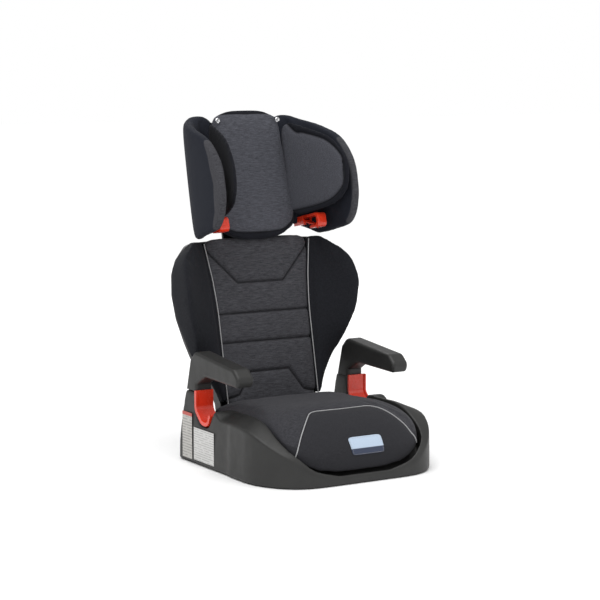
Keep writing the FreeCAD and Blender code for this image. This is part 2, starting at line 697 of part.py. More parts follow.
def head_flank(inset=0.0):
    """The headrest seen from the side: a rounded wing that falls towards its front."""
    reach, high, low = D["head_reach"] - inset, D["head_top"] - 14, D["head_low"] + 3
    tall = high - low
    corners = [
        (40, high - inset, 0), (2, high - inset, 0), (-0.46 * reach, low + 0.84 * tall - inset, 60),
        (-0.80 * reach, low + 0.70 * tall - inset, 60), (-reach, low + 0.48 * tall, 60),
        (-reach, low + 0.28 * tall, 50), (-0.84 * reach, low + 0.12 * tall + inset, 50),
        (-0.40 * reach, low + 0.04 * tall + inset, 100), (-0.21 * reach, low + inset, 12),
        (-D["pad_face"] - 3, D["back_top"] + 8 + inset, 6), (-2, low + 0.10 * tall + inset, 20),
        (40, low + 0.10 * tall + inset, 0),
    ]
    span = D["head_half_width"] + 20
    return side_prism(corners, -span, span)


def head_layer(outside, inside, inset):
    """A layer of the headrest between two depths below its outer surface."""
    ring = head_region(outside, 0, 900).cut(head_region(inside, -10, 910))
    return ring.common(head_flank(inset))


guide_low, guide_high = D["head_low"] + 27, D["head_low"] + 46
guide_in, guide_out = 112, 134


def headrest_shell():
    """The moulded headrest: a curved plate with two deep wings."""
    body = head_layer(3, 3 + wall, 6)
    for x, z in slider_screws:
        body = body.cut(Part.makeCylinder(2.2, 40, Vector(x, -20, z), Vector(0, 1, 0)))
    return body.removeSplitter()


feature("headrest_shell", headrest_shell(), lean=True)

core_half = [(84, D["head_low"] + 41, 10), (78, D["head_top"] - 9, 20)]
core = front_prism(mirrored(core_half), -D["head_face"] + 13, -wall - 0.3)
for x, z in slider_screws:
    core = core.cut(Part.makeCylinder(2.4, 60, Vector(x, -16, z), Vector(0, 1, 0)))
feature("headrest_foam_core", core, lean=True)

pad_half = [(45, D["head_low"], 30), (100, D["head_low"] + 34, 40), (103, D["head_low"] + 60, 60),
            (93, 0.5 * (D["head_low"] + D["head_top"]) + 20, 200), (82, D["head_top"] - 12, 16),
            (50, D["head_top"], 60)]
pad_face = -D["head_face"]
feature("headrest_center_pad", front_prism(mirrored(pad_half), pad_face, pad_face + 12.6), lean=True)

stem_box = block(guide_in - 1, guide_out + 1, -58, 40, guide_low - 1, guide_high + 1)
wing_pad = head_layer(3.3 + wall, D["wing_thickness"], 0)
wing_pad = wing_pad.common(block(86.5, 400, -400, 100, 0, 900)).cut(stem_box)
pair("headrest_wing_pad", wing_pad.removeSplitter(), lean=True)


def cheek_pad():
    """An inner cheek: a slab that opens outwards from the centre pad, with a rounded front."""
    reach = D["head_reach"] + 10
    start = -D["head_face"] - 0.5
    low, high = D["head_low"] + 48, D["head_top"] - 38
    tall = high - low
    profile = [
        (start, high, 0), (-0.48 * reach, low + 0.88 * tall, 60), (-0.77 * reach, low + 0.755 * tall, 60),
        (-0.985 * reach, low + 0.56 * tall, 50), (-reach, low + 0.36 * tall, 40),
        (-0.95 * reach, low + 0.14 * tall, 40), (-0.76 * reach, low + 0.03 * tall, 40), (start, low, 0),
    ]
    outer_front = D["head_half_width"] - D["wing_thickness"] - 3
    outer_rear = outer_front - 44
    thick = D["cheek_thickness"]
    plan = [(outer_rear, start, 0), (outer_front, -reach, 0), (outer_front - thick, -reach, 0),
            (outer_rear - thick, start, 0)]
    return side_prism(profile, 0, 300).common(plan_prism(plan, 0, 900)).removeSplitter()


pair("headrest_cheek_pad", cheek_pad(), lean=True)


def shoulder_guide():
    """A belt hook under the wing: a stem from the shell and a C that opens backwards over the gate."""
    low = D["head_low"] + 14
    stem = block(guide_in, guide_out, -50, 40, guide_low, guide_high).common(head_region(3.2 + wall, 0, 900))
    hook = [
        (-48, guide_high, 0), (-110, guide_high, 10), (-112, low, 10), (-74, low, 3), (-74, low + 6, 3),
        (-104, low + 6, 6), (-104, guide_high - 6, 6), (-48, guide_high - 6, 0),
    ]
    body = stem.cut(block(guide_in + 3, guide_out - 3, -53, -35, guide_low - 1, guide_high - 6))
    body = body.fuse(side_prism(hook, guide_in, guide_out))
    body = body.cut(rod(1.5 + D["running_fit"], guide_in - 1, guide_out + 1, -44, guide_low + 7))
    return body.removeSplitter()


pair("shoulder_belt_guide", shoulder_guide(), lean=True)


def belt_gate():
    """A sprung flap that closes the hook's mouth."""
    y, z = -44, guide_low + 7
    tip = D["head_low"] + 21.5
    flap = [(y - 2.4, z, 0), (y + 2, z - 1, 0), (-80, tip, 1), (-84, tip + 2, 1)]
    arm = side_prism(flap, guide_in + 4, guide_out - 4)
    body = rod(3.4, guide_in + 4, guide_out - 4, y, z).fuse(arm)
    return body.cut(rod(1.5 + D["running_fit"], 0, 300, y, z)).removeSplitter()


pair("belt_gate", belt_gate(), lean=True)
pair("gate_pin", rod(1.5, guide_in, guide_out, -44, guide_low + 7), lean=True)

for side, sign in (("left", ""), ("right", "-")):
    stud = doc.addObject("Part::Ellipsoid", "stud_dome_" + side)
    stud.Angle1 = 0
    for prop, text in (("Radius1", "3"), ("Radius2", "stud_radius"), ("Radius3", "stud_radius")):
        stud.setExpression(prop, sized(text))
    cap = doc.addObject("Part::Compound", "stud_cap_" + side)
    stud.Placement = Placement(Vector(value_of(sign + "76"), -D["head_face"] - 0.2, D["head_top"] - 25),
                               Rotation(ACROSS, 90))
    cap.Links = [stud]
    node(cap, "stud_" + side, lean=True)

seats = [Vector(x, D["slider_thickness"], z) for x, z in slider_screws]
screw_group("slider_screws", seats, 4.5, 2.0, 2.0, 14, Rotation(ACROSS, 90), lean=True)

lever = doc.addObject("PartDesign::Body", "height_lever")
grip = add_outline(lever, "lever_profile", "YZ_Plane", [
    ("slider_thickness + 2", "lever_height - 5"), ("slider_thickness + 10", "lever_height - 5"),
    ("slider_thickness + 12", "lever_height + 12"), ("slider_thickness + 14", "lever_height + 50"),
    ("slider_thickness + 22", "lever_height + 66"), ("slider_thickness + 17", "lever_height + 70"),
    ("slider_thickness + 8", "lever_height + 54"), ("slider_thickness + 6", "lever_height + 12"),
], "0")
add_pad(lever, grip, "28", midplane=True)
wide_grip = add_outline(lever, "lever_grip", "YZ_Plane", [
    ("slider_thickness + 6.5", "lever_height + 22"), ("slider_thickness + 12.5", "lever_height + 22"),
    ("slider_thickness + 14", "lever_height + 50"), ("slider_thickness + 22", "lever_height + 66"),
    ("slider_thickness + 17", "lever_height + 70"), ("slider_thickness + 8", "lever_height + 54"),
], "0")
add_pad(lever, wide_grip, "64", midplane=True)
bore = add_circle(lever, "lever_bore", "YZ_Plane", ("slider_thickness + 6", "lever_height"),
                  "lever_pin_radius + running_fit")
add_through_cut(lever, bore)
node(lever, "height_lever", lean=True)

lever_pin = doc.addObject("Part::Cylinder", "lever_pin_rod")
lever_pin.setExpression("Radius", sized("lever_pin_radius"))
lever_pin.Height = 45
lever_place = Vector(-22.5, D["slider_thickness"] + 6, D["lever_height"])
lever_pin.Placement = Placement(lever_place, Rotation(Vector(0, 1, 0), 90))
pin_node = doc.addObject("Part::Compound", "lever_pin")
pin_node.Links = [lever_pin]
node(pin_node, "lever_pin", lean=True)

coils = []
for side in (-1, 1):
    for turn in range(3):
        coil = doc.addObject("Part::Torus", "spring_coil")
        coil.Radius1 = D["lever_pin_radius"] + 1.4
        coil.Radius2 = 0.5
        across = side * (14.9 + 1.15 * turn)
        coil_place = Vector(across, D["slider_thickness"] + 6, D["lever_height"])
        coil.Placement = Placement(coil_place, Rotation(Vector(0, 1, 0), 90))
        coils.append(coil)
spring = doc.addObject("Part::Compound", "lever_spring")
spring.Links = coils
node(spring, "lever_spring", lean=True)

for name, size, base in (
        ("release_rod", ("10", "4", "lever_height - 14 - 0.5 * back_top - 16"),
         ("-5", "slider_thickness + 1.5", "0.5 * back_top + 16")),
        ("latch_bolt", ("30", "back_rear - shell_wall - 4 - slider_thickness - 0.5", "12"),
         ("-15", "slider_thickness + 0.5", "0.5 * back_top"))):
    bar = bound("Part::Box", name + "_bar", dict(zip(("Length", "Width", "Height"), size)), base)
    bar_node = doc.addObject("Part::Compound", name)
    bar_node.Links = [bar]
    node(bar_node, name, lean=True)

# ---------------------------------------------------------------- checks and files

doc.recompute()
for obj in doc.Objects:
    if "Invalid" in obj.State or "Error" in obj.State:
        raise RuntimeError("%s failed: %s" % (obj.Name, obj.State))
os.makedirs("parts", exist_ok=True)
for obj in NODES:
    shape = obj.Shape
    if shape.isNull() or not shape.isValid() or not shape.Solids:
        raise RuntimeError("%s has no valid solid" % obj.Label)
    shape.exportStep("parts/%s.step" % obj.Label)
    print("%-24s solids %d volume %8.0f mm3" % (obj.Label, len(shape.Solids), shape.Volume))
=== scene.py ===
"""Visual model of a high-back child booster seat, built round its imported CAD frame.

Lengths in the classes are millimetres; Blender's meshes are in metres. The backrest and headrest are
described in their own leaned frame: x across, depth towards the vehicle's seat, rise up along the backrest
from the recline hinge.
"""
import json
import logging
import math
from dataclasses import dataclass
from enum import Enum
from typing import Callable, Sequence

import bmesh
import bpy
import numpy as np
from mathutils import Euler, Matrix, Vector
from mathutils.bvhtree import BVHTree

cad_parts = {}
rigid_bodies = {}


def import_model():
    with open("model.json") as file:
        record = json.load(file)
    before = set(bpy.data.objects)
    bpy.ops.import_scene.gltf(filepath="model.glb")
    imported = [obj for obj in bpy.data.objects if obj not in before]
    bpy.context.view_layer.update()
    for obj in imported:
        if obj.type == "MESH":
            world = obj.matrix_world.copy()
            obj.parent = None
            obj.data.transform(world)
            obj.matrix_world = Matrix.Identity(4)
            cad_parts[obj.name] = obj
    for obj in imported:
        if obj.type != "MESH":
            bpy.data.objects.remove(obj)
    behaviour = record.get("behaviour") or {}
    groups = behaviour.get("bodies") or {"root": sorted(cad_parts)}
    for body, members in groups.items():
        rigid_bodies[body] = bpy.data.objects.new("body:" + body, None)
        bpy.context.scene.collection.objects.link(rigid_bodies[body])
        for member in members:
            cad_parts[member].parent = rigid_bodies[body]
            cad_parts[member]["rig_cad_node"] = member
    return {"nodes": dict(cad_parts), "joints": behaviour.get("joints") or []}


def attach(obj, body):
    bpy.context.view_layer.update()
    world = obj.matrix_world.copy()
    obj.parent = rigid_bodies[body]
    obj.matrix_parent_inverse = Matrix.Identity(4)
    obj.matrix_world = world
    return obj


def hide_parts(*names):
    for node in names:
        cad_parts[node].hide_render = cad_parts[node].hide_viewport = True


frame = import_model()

LOG = logging.getLogger("booster_seat")
MM = 0.001
Point2 = tuple[float, float]
Point3 = tuple[float, float, float]
Colour = tuple[float, float, float, float]
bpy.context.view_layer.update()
ONE_BAND = 0.314  # the wave texture's scale that draws one band for each unit
FAR = 1e9  # farther than anything on the seat, in any unit


class Side(Enum):
    """The child's left is +X."""
    LEFT = 1
    RIGHT = -1

    @property
    def word(self) -> str:
        """The side's name as the CAD nodes spell it."""
        return self.name.lower()


# ---------------------------------------------------------------- frames and small maths

class Lean:
    """The leaned frame of the backrest, read from the recline hinge and the headrest's slide."""

    def __init__(self) -> None:
        """Reads the pivot and the slide direction from the frame's joints."""
        joints = {j["name"]: j for j in frame["joints"]}
        self.pivot = Vector(joints["backrest_recline"]["pos_m"])
        self.rise = Vector(joints["headrest_height"]["axis"]).normalized()
        self.across = Vector((1.0, 0.0, 0.0))
        self.depth = self.rise.cross(self.across)
        self.angle = math.atan2(self.rise.y, self.rise.z)

    def out(self, x: float, depth: float, rise: float) -> Vector:
        """A point of the leaned frame, in millimetres, as a point of the row frame, in metres."""
        return self.pivot + MM * (x * self.across + depth * self.depth + rise * self.rise)

    def back(self, points: np.ndarray) -> np.ndarray:
        """Row-frame points in metres as leaned-frame points in millimetres."""
        axes = np.array([self.across, self.depth, self.rise])
        return (points - np.array(self.pivot)) @ axes.T / MM


LEAN = Lean()


def coordinates(obj: bpy.types.Object) -> np.ndarray:
    """All vertex positions of a mesh object."""
    flat = np.empty(len(obj.data.vertices) * 3)
    obj.data.vertices.foreach_get("co", flat)
    return flat.reshape(-1, 3)


def move_to(obj: bpy.types.Object, points: np.ndarray) -> None:
    """Sets all vertex positions of a mesh object."""
    obj.data.vertices.foreach_set("co", np.asarray(points, float).ravel())
    obj.data.update()


def normals(obj: bpy.types.Object) -> np.ndarray:
    """All vertex normals of a mesh object."""
    flat = np.empty(len(obj.data.vertices) * 3)
    obj.data.vertices.foreach_get("normal", flat)
    return flat.reshape(-1, 3)


def curve_through(knots: Sequence[Point2], at: float) -> float:
    """A smooth value at a position, from (position, value) knots in rising order.

    Args:
        knots: Positions and values; the value eases between them without overshoot.
        at: The position asked for.

    Returns:
        The value, held at the ends.
    """
    xs = np.array([k[0] for k in knots], float)
    ys = np.array([k[1] for k in knots], float)
    if at <= xs[0]:
        return float(ys[0])
    if at >= xs[-1]:
        return float(ys[-1])
    steps = np.diff(ys) / np.diff(xs)
    slopes = np.zeros(len(xs))
    slopes[0], slopes[-1] = steps[0], steps[-1]
    for i in range(1, len(xs) - 1):
        if steps[i - 1] * steps[i] > 0:
            slopes[i] = 2 * steps[i - 1] * steps[i] / (steps[i - 1] + steps[i])
    i = int(np.searchsorted(xs, at)) - 1
    width = xs[i + 1] - xs[i]
    t = (at - xs[i]) / width
    return float(
        (1 + 2 * t) * (1 - t) ** 2 * ys[i] + t * (1 - t) ** 2 * width * slopes[i]
        + t * t * (3 - 2 * t) * ys[i + 1] + t * t * (t - 1) * width * slopes[i + 1]
    )


def smooth_line(points: Sequence[Sequence[float]], per_span: int = 12) -> list[Vector]:
    """A Catmull-Rom line through points, for seams and piping."""
    line = [Vector(p) for p in points]
    padded = [2 * line[0] - line[1]] + line + [2 * line[-1] - line[-2]]
    result = []
    for i in range(1, len(padded) - 2):
        before, start, end, after = padded[i - 1:i + 3]
        for step in range(per_span):
            t = step / per_span
            result.append(0.5 * (
                2 * start + (end - before) * t + (2 * before - 5 * start + 4 * end - after) * t * t
                + (3 * start - before - 3 * end + after) * t ** 3
            ))
    return result + [line[-1]]


def smooth_pairs(points: Sequence[Point2]) -> list[Point2]:
    """A smooth line through 2-D points."""
    return [(p.x, p.y) for p in smooth_line([(*p, 0.0) for p in points])]


def curve_array(knots: Sequence[Point2], places: np.ndarray) -> np.ndarray:
    """Values between knots at many positions, on straight runs."""
    return np.interp(places, [k[0] for k in knots], [k[1] for k in knots])


def falloff(distance: np.ndarray, reach: float) -> np.ndarray:
    """One at a line, fading to nothing a few reaches away from it."""
    return np.exp(-((distance / reach) ** 2))


def between(values: np.ndarray, start: float, end: float) -> np.ndarray:
    """How far values have come from a start, 0, to an end, 1. The start may be the larger one."""
    return np.clip((values - start) / (end - start), 0, 1)


def distance_to_line(points: np.ndarray, line: Sequence[Point2]) -> np.ndarray:
    """The distance of each 2-D point to a polyline."""
    nearest = np.full(len(points), FAR)
    for start, end in zip(line[:-1], line[1:]):
        a, b = np.array(start[:2], float), np.array(end[:2], float)
        run = b - a
        share = np.clip(((points - a) @ run) / max(run @ run, 1e-9), 0, 1)
        nearest = np.minimum(nearest, np.linalg.norm(points - a - share[:, None] * run, axis=1))
    return nearest


# ---------------------------------------------------------------- mesh tools

def placed(name: str, data: bpy.types.ID) -> bpy.types.Object:
    """A new object in the scene, with its data."""
    obj = bpy.data.objects.new(name, data)
    bpy.context.scene.collection.objects.link(obj)
    return obj


def deselect() -> None:
    """Leaves nothing selected, in object mode."""
    if bpy.context.object and bpy.context.object.mode != "OBJECT":
        bpy.ops.object.mode_set(mode="OBJECT")
    bpy.ops.object.select_all(action="DESELECT")


def choose(obj: bpy.types.Object) -> None:
    """Makes an object the only selected and active one."""
    deselect()
    obj.select_set(True)
    bpy.context.view_layer.objects.active = obj


def apply_modifier(obj: bpy.types.Object, kind: str, **settings: object) -> None:
    """Adds a modifier with its settings and applies it."""
    choose(obj)
    modifier = obj.modifiers.new(kind.title(), kind)
    for name, value in settings.items():
        setattr(modifier, name, value)
    bpy.ops.object.modifier_apply(modifier=modifier.name)


def shape_all(operator: Callable[..., set], **settings: object) -> None:
    """Runs an edit-mode operator on all of the active object's mesh."""
    bpy.ops.object.mode_set(mode="EDIT")
    bpy.ops.mesh.select_all(action="SELECT")
    operator(**settings)
    bpy.ops.object.mode_set(mode="OBJECT")


def smooth_shade(obj: bpy.types.Object, degrees: float = 40.0) -> None:
    """Shades smooth, with edges sharper than an angle kept crisp."""
    choose(obj)
    bpy.ops.object.shade_smooth_by_angle(angle=math.radians(degrees))


def shaped_cube(name: str, cuts: int, shape: Callable[[float, float, float], Vector], power: float = 8.0
                ) -> bpy.types.Object:
    """A subdivided cube whose points are moved into a closed form.

    Args:
        name: The piece's name.
        cuts: Cuts along each edge of the cube.
        shape: Turns a point of the rounded unit cube into a point of the row frame, in metres.
        power: How square the cube's edges stay; 2 would be a ball.

    Returns:
        The new object.
    """
    deselect()
    bpy.ops.mesh.primitive_cube_add(size=2)
    obj = bpy.context.object
    obj.name = name
    shape_all(bpy.ops.mesh.subdivide, number_cuts=cuts)
    for vertex in obj.data.vertices:
        size = sum(abs(c) ** power for c in vertex.co) ** (1 / power)
        vertex.co = shape(*(vertex.co / size))
    choose(obj)
    shape_all(bpy.ops.mesh.normals_make_consistent, inside=False)
    return obj


def tube(name: str, points: Sequence[Vector], radius: float) -> bpy.types.Object:
    """A round cord of a radius in metres along points, as a closed mesh."""
    curve = bpy.data.curves.new(name, "CURVE")
    curve.dimensions = "3D"
    spline = curve.splines.new("POLY")
    spline.points.add(len(points) - 1)
    for target, point in zip(spline.points, points):
        target.co = (*point, 1.0)
    curve.bevel_depth = radius
    curve.bevel_resolution = 3
    curve.use_fill_caps = True
    choose(placed(name, curve))
    bpy.ops.object.convert(target="MESH")
    obj = bpy.context.object
    obj.name = name
    smooth_shade(obj, 60)
    return obj


def stitches(name: str, rows: Sequence[Sequence[Vector]], pitch: float = 5.2, length: float = 3.4,
             radius: float = 0.42) -> bpy.types.Object:
    """Thread stitches laid end to end along rows of points.

    Args:
        name: The piece's name.
        rows: Lines in the row frame, in metres.
        pitch: From one stitch to the next, in millimetres.
        length: One stitch, in millimetres.
        radius: Half the thread's thickness, in millimetres.

    Returns:
        One object that holds all the stitches.
    """
    sides, rings = 5, ((-0.5, 0.35), (-0.3, 1.0), (0.3, 1.0), (0.5, 0.35))
    points, faces = [], []
    for row in rows:
        lengths = [0.0]
        for a, b in zip(row[:-1], row[1:]):
            lengths.append(lengths[-1] + (b - a).length / MM)
        for number in range(int(lengths[-1] / pitch)):
            at = (number + 0.5) * pitch
            i = min(max(int(np.searchsorted(lengths, at)) - 1, 0), len(row) - 2)
            run = row[i + 1] - row[i]
            if run.length < 1e-9:
                continue
            centre = row[i] + run * ((at - lengths[i]) * MM / run.length)
            run.normalize()
            first = run.orthogonal().normalized()
            second = run.cross(first)
            base = len(points)
            for share, width in rings:
                for k in range(sides):
                    turn = 2 * math.pi * k / sides
                    offset = (first * math.cos(turn) + second * math.sin(turn)) * radius * width * MM
                    points.append(centre + run * share * length * MM + offset)
            for r in range(len(rings) - 1):
                for k in range(sides):
                    n = (k + 1) % sides
                    faces.append((base + r * sides + k, base + r * sides + n,
                                  base + (r + 1) * sides + n, base + (r + 1) * sides + k))
            faces.append(tuple(base + k for k in reversed(range(sides))))
            faces.append(tuple(base + (len(rings) - 1) * sides + k for k in range(sides)))
    mesh = bpy.data.meshes.new(name)
    mesh.from_pydata(points, [], faces)
    return placed(name, mesh)


class Cloth:
    """Turns a closed shape into a stuffed cover by a short pressure simulation."""

    voxel = 0.005
    last_frame = 20

    @classmethod
    def inflate(cls, obj: bpy.types.Object, cap: float, held: Callable[[np.ndarray], np.ndarray],
                pressure: float = 4.0) -> None:
        """Remeshes, inflates and applies.

        Args:
            obj: A closed shape, slightly smaller than the finished pad.
            cap: The most that a point may move, in millimetres.
            held: Gives, for all points in metres, how firmly each is held, from 0 to 1.
            pressure: The air pressure inside the cover.
        """
        choose(obj)
        obj.data.remesh_voxel_size = cls.voxel
        bpy.ops.object.voxel_remesh()
        apply_modifier(obj, "SMOOTH", factor=0.5, iterations=4)
        start = coordinates(obj)
        firm = held(start)
        group = obj.vertex_groups.new(name="held")
        for index, weight in enumerate(firm):
            if weight > 0.01:
                group.add([index], float(weight), "REPLACE")
        choose(obj)
        cloth = obj.modifiers.new("Cloth", "CLOTH")
        cloth.settings.use_pressure = True
        cloth.settings.uniform_pressure_force = pressure
        cloth.settings.vertex_group_mass = "held"
        cloth.settings.effector_weights.gravity = 0.0
        cloth.point_cache.frame_start = 1
        cloth.point_cache.frame_end = cls.last_frame
        for number in range(1, cls.last_frame + 1):
            bpy.context.scene.frame_set(number)
        bpy.ops.object.modifier_apply(modifier=cloth.name)
        bpy.context.scene.frame_set(1)
        moved = coordinates(obj) - start
        far = np.linalg.norm(moved, axis=1)
        limit = cap * MM * np.tanh(far / (cap * MM)) / np.maximum(far, 1e-9)
        move_to(obj, start + moved * limit[:, None])
        apply_modifier(obj, "SMOOTH", factor=0.4, iterations=2)
        apply_modifier(obj, "SUBSURF", levels=1, render_levels=1)
        smooth_shade(obj, 180)


def sew(obj: bpy.types.Object, flat: np.ndarray, facing: np.ndarray, lines: Sequence[Sequence[Point2]],
        depth: float, width: float) -> None:
    """Presses sewn channels into a pad, and paints shade along them in the seam attribute.

    Args:
        obj: The pad.
        flat: Each point's place in the plane that the lines are drawn in, in millimetres.
        facing: How much each point takes part, from 0 to 1.
        lines: The seams.
        depth: How deep a seam is drawn in, in millimetres.
        width: Half the channel's width, in millimetres.
    """
    shadow, shadow_reach = 0.75, 1.9
    slope_share, slope_spread = 0.35, 3.2
    near = np.full(len(flat), FAR)
    for line in lines:
        near = np.minimum(near, distance_to_line(flat, line))
    # Painted shade: a dark band along each seam, standing in for the shade that falls in the sewn channels.
    note(obj, "seam", shadow * facing * falloff(near, shadow_reach))
    drawn = depth * falloff(near, width) + slope_share * depth * falloff(near, slope_spread * width)
    move_to(obj, coordinates(obj) - normals(obj) * (drawn * facing * MM)[:, None])


def note(obj: bpy.types.Object, name: str, values: np.ndarray) -> None:
    """Stores one number for each point of a mesh, for a material to read."""
    attribute = obj.data.attributes.new(name, "FLOAT", "POINT")
    attribute.data.foreach_set("value", np.asarray(values, np.float32))


def tree_of(obj: bpy.types.Object) -> BVHTree:
    """A search tree of an object's mesh."""
    built = bmesh.new()
    built.from_mesh(obj.data)
    found = BVHTree.FromBMesh(built)
    built.free()
    return found


def laid_on(tree: BVHTree, points: Sequence[Vector], direction: Vector, lift: float) -> list[Vector]:
    """Points thrown along a direction on to a surface, and lifted off it.

    Args:
        tree: The surface.
        points: Starting points, in metres, ahead of the surface.
        direction: The way they are thrown.
        lift: Height above the surface, in millimetres.

    Returns:
        The points that hit.
    """
    landed = []
    for point in points:
        place, normal, _, _ = tree.ray_cast(point, direction)
        if place is not None:
            landed.append(place + normal * lift * MM)
    return landed


def mirrored(obj: bpy.types.Object, name: str) -> bpy.types.Object:
    """A copy of a finished piece on the other side of the middle plane, with its own mesh."""
    copy = obj.copy()
    copy.data = obj.data.copy()
    copy.name = name
    bpy.context.scene.collection.objects.link(copy)
    copy.data.transform(Matrix.Scale(-1, 4, (1, 0, 0)))
    copy.data.flip_normals()
    return copy


# ---------------------------------------------------------------- finishes

def linear(hexed: str) -> Colour:
    """An sRGB hex colour as a linear colour for a shader."""
    parts = [int(hexed[i:i + 2], 16) / 255 for i in (1, 3, 5)]
    parts = [p / 12.92 if p <= 0.04045 else ((p + 0.055) / 1.055) ** 2.4 for p in parts]
    return (*parts, 1.0)


def shade(hexed: str, factor: float) -> str:
    """A hex colour made lighter or darker by a factor."""
    return "#" + "".join(f"{min(255, round(int(hexed[i:i + 2], 16) * factor)):02x}" for i in (1, 3, 5))


def add(material: bpy.types.Material | bpy.types.World, kind: str, links: dict | None = None,
        **settings: object) -> bpy.types.Node:
    """Adds a node with its settings and links.

    Args:
        material: The material, or the sky, that gets the node.
        kind: The node's type, without its ShaderNode prefix.
        links: Input names or numbers, each with the node or socket that feeds it.
        settings: Properties, or input values with spaces written as underscores.

    Returns:
        The new node.
    """
    made = material.node_tree.nodes.new("ShaderNode" + kind)
    for name, value in settings.items():
        if hasattr(made, name):
            setattr(made, name, value)
        else:
            made.inputs[name.replace("_", " ")].default_value = value
    for name, source in (links or {}).items():
        out = source if isinstance(source, bpy.types.NodeSocket) else source.outputs[0]
        material.node_tree.links.new(out, made.inputs[name])
    return made


def ramp(material: bpy.types.Material, source: bpy.types.Node, stops: Sequence[tuple[float, Colour]]
         ) -> bpy.types.Node:
    """Adds a colour ramp with its stops."""
    made = add(material, "ValToRGB", {"Fac": source})
    elements = made.color_ramp.elements
    while len(elements) < len(stops):
        elements.new(0.5)
    for element, (place, colour) in zip(elements, stops):
        element.position, element.color = place, colour
    return made


@dataclass(frozen=True)
class Finish:
    """A finish that any piece may be given; each kind draws its own nodes."""
    name: str
    slot: str

    def draw(self, material: bpy.types.Material, shader: bpy.types.Node) -> None:
        """Adds this finish's nodes."""
        raise NotImplementedError

    def made(self) -> bpy.types.Material:
        """The material, made on first use."""
        found = bpy.data.materials.get(self.name)
        if found:
            return found
        material = bpy.data.materials.new(self.name)
        material.use_nodes = True
        self.draw(material, material.node_tree.nodes["Principled BSDF"])
        return material

    def dress(self, obj: bpy.types.Object) -> None:
        """Puts the finish on every material slot of an object."""
        if not obj.data.materials:
            obj.data.materials.append(None)
        for number in range(len(obj.data.materials)):
            obj.data.materials[number] = self.made()

    @staticmethod
    def place(material: bpy.types.Material, per_mm: Point3, leaned: bool = False) -> bpy.types.Node:
        """Object coordinates scaled so that one unit is one feature of the given size.

        Args:
            material: The material that gets the nodes.
            per_mm: A feature's size along x, y and z, in millimetres.
            leaned: Whether the pattern follows the backrest's lean.

        Returns:
            The mapping node.
        """
        coords = add(material, "TexCoord")
        turned = coords.outputs["Object"]
        if leaned:
            turned = add(material, "Mapping", {"Vector": turned}, Rotation=(LEAN.angle, 0, 0))
        return add(material, "Mapping", {"Vector": turned}, Scale=tuple(1 / (size * MM) for size in per_mm))


@dataclass(frozen=True)
class Woven(Finish):
    """Polyester cover cloth. Yarns of two greys give soft streaks across; a short nap lifts the edges."""
    dark: str = "#2c2c2f"
    light: str = "#57575c"
    streak: tuple[float, float, float] = (16.0, 1.6, 1.6)
    thread: float = 1.5
    relief: float = 0.35
    nap: float = 0.08
    leaned: bool = False
    border: str = ""

    def draw(self, material: bpy.types.Material, shader: bpy.types.Node) -> None:
        """Heather streaks, yarn crossings, the border cloth where the piece has one, and their relief;
        painted shade darkens the cloth along the seams.
        """
        streaks = add(material, "TexNoise", {"Vector": self.place(material, self.streak, self.leaned)},
                      Scale=1.0, Detail=4.0, Roughness=0.62)
        fibres = add(material, "TexNoise", {"Vector": self.place(material, (3.0, 0.9, 0.9), self.leaned)},
                     Scale=1.0, Detail=2.0, Roughness=0.5)
        blend = add(material, "Mix", {2: streaks, 3: fibres}, data_type="FLOAT")
        blend.inputs[0].default_value = 0.35
        heather = ramp(material, blend, [(0.34, linear(self.dark)), (0.70, linear(self.light))])
        colour: bpy.types.Node = heather
        yarns = self.place(material, (self.thread,) * 3, self.leaned)
        warp = add(material, "TexWave", {"Vector": yarns}, Scale=ONE_BAND, bands_direction="X",
                   Distortion=0.6)
        weft = add(material, "TexWave", {"Vector": yarns}, Scale=ONE_BAND, bands_direction="Z",
                   Distortion=0.6)
        crossing = add(material, "Math", {0: warp.outputs["Fac"], 1: weft.outputs["Fac"]},
                       operation="MULTIPLY")
        if self.border:
            zone = add(material, "Attribute", attribute_name="panel")
            inside = add(material, "MapRange", {"Value": zone.outputs["Fac"]}, From_Min=-0.7, From_Max=0.7)
            edge = ramp(material, fibres, [(0.3, linear(self.border)),
                                           (0.8, linear(shade(self.border, 1.35)))])
            mixed = add(material, "Mix", {0: inside, 6: edge, 7: heather}, data_type="RGBA")
            colour = mixed.outputs[2]
        # Painted shade: the cloth darkens towards #0c0c0e where the seam attribute marks the shade in the
        # sewn channels.
        seam = add(material, "Attribute", attribute_name="seam")
        sewn = add(material, "Mix", {0: seam.outputs["Fac"], 6: colour}, data_type="RGBA")
        sewn.inputs[7].default_value = linear("#0c0c0e")
        colour = sewn.outputs[2]
        bumps = add(material, "Math", {0: crossing, 1: fibres}, operation="ADD")
        relief = add(material, "Bump", {"Height": bumps}, Strength=self.relief, Distance=0.0006)
        links = material.node_tree.links
        links.new(colour, shader.inputs["Base Color"])
        links.new(relief.outputs[0], shader.inputs["Normal"])
        shader.inputs["Roughness"].default_value = 0.88
        shader.inputs["Specular IOR Level"].default_value = 0.12
        shader.inputs["Sheen Weight"].default_value = self.nap
        shader.inputs["Sheen Roughness"].default_value = 0.45


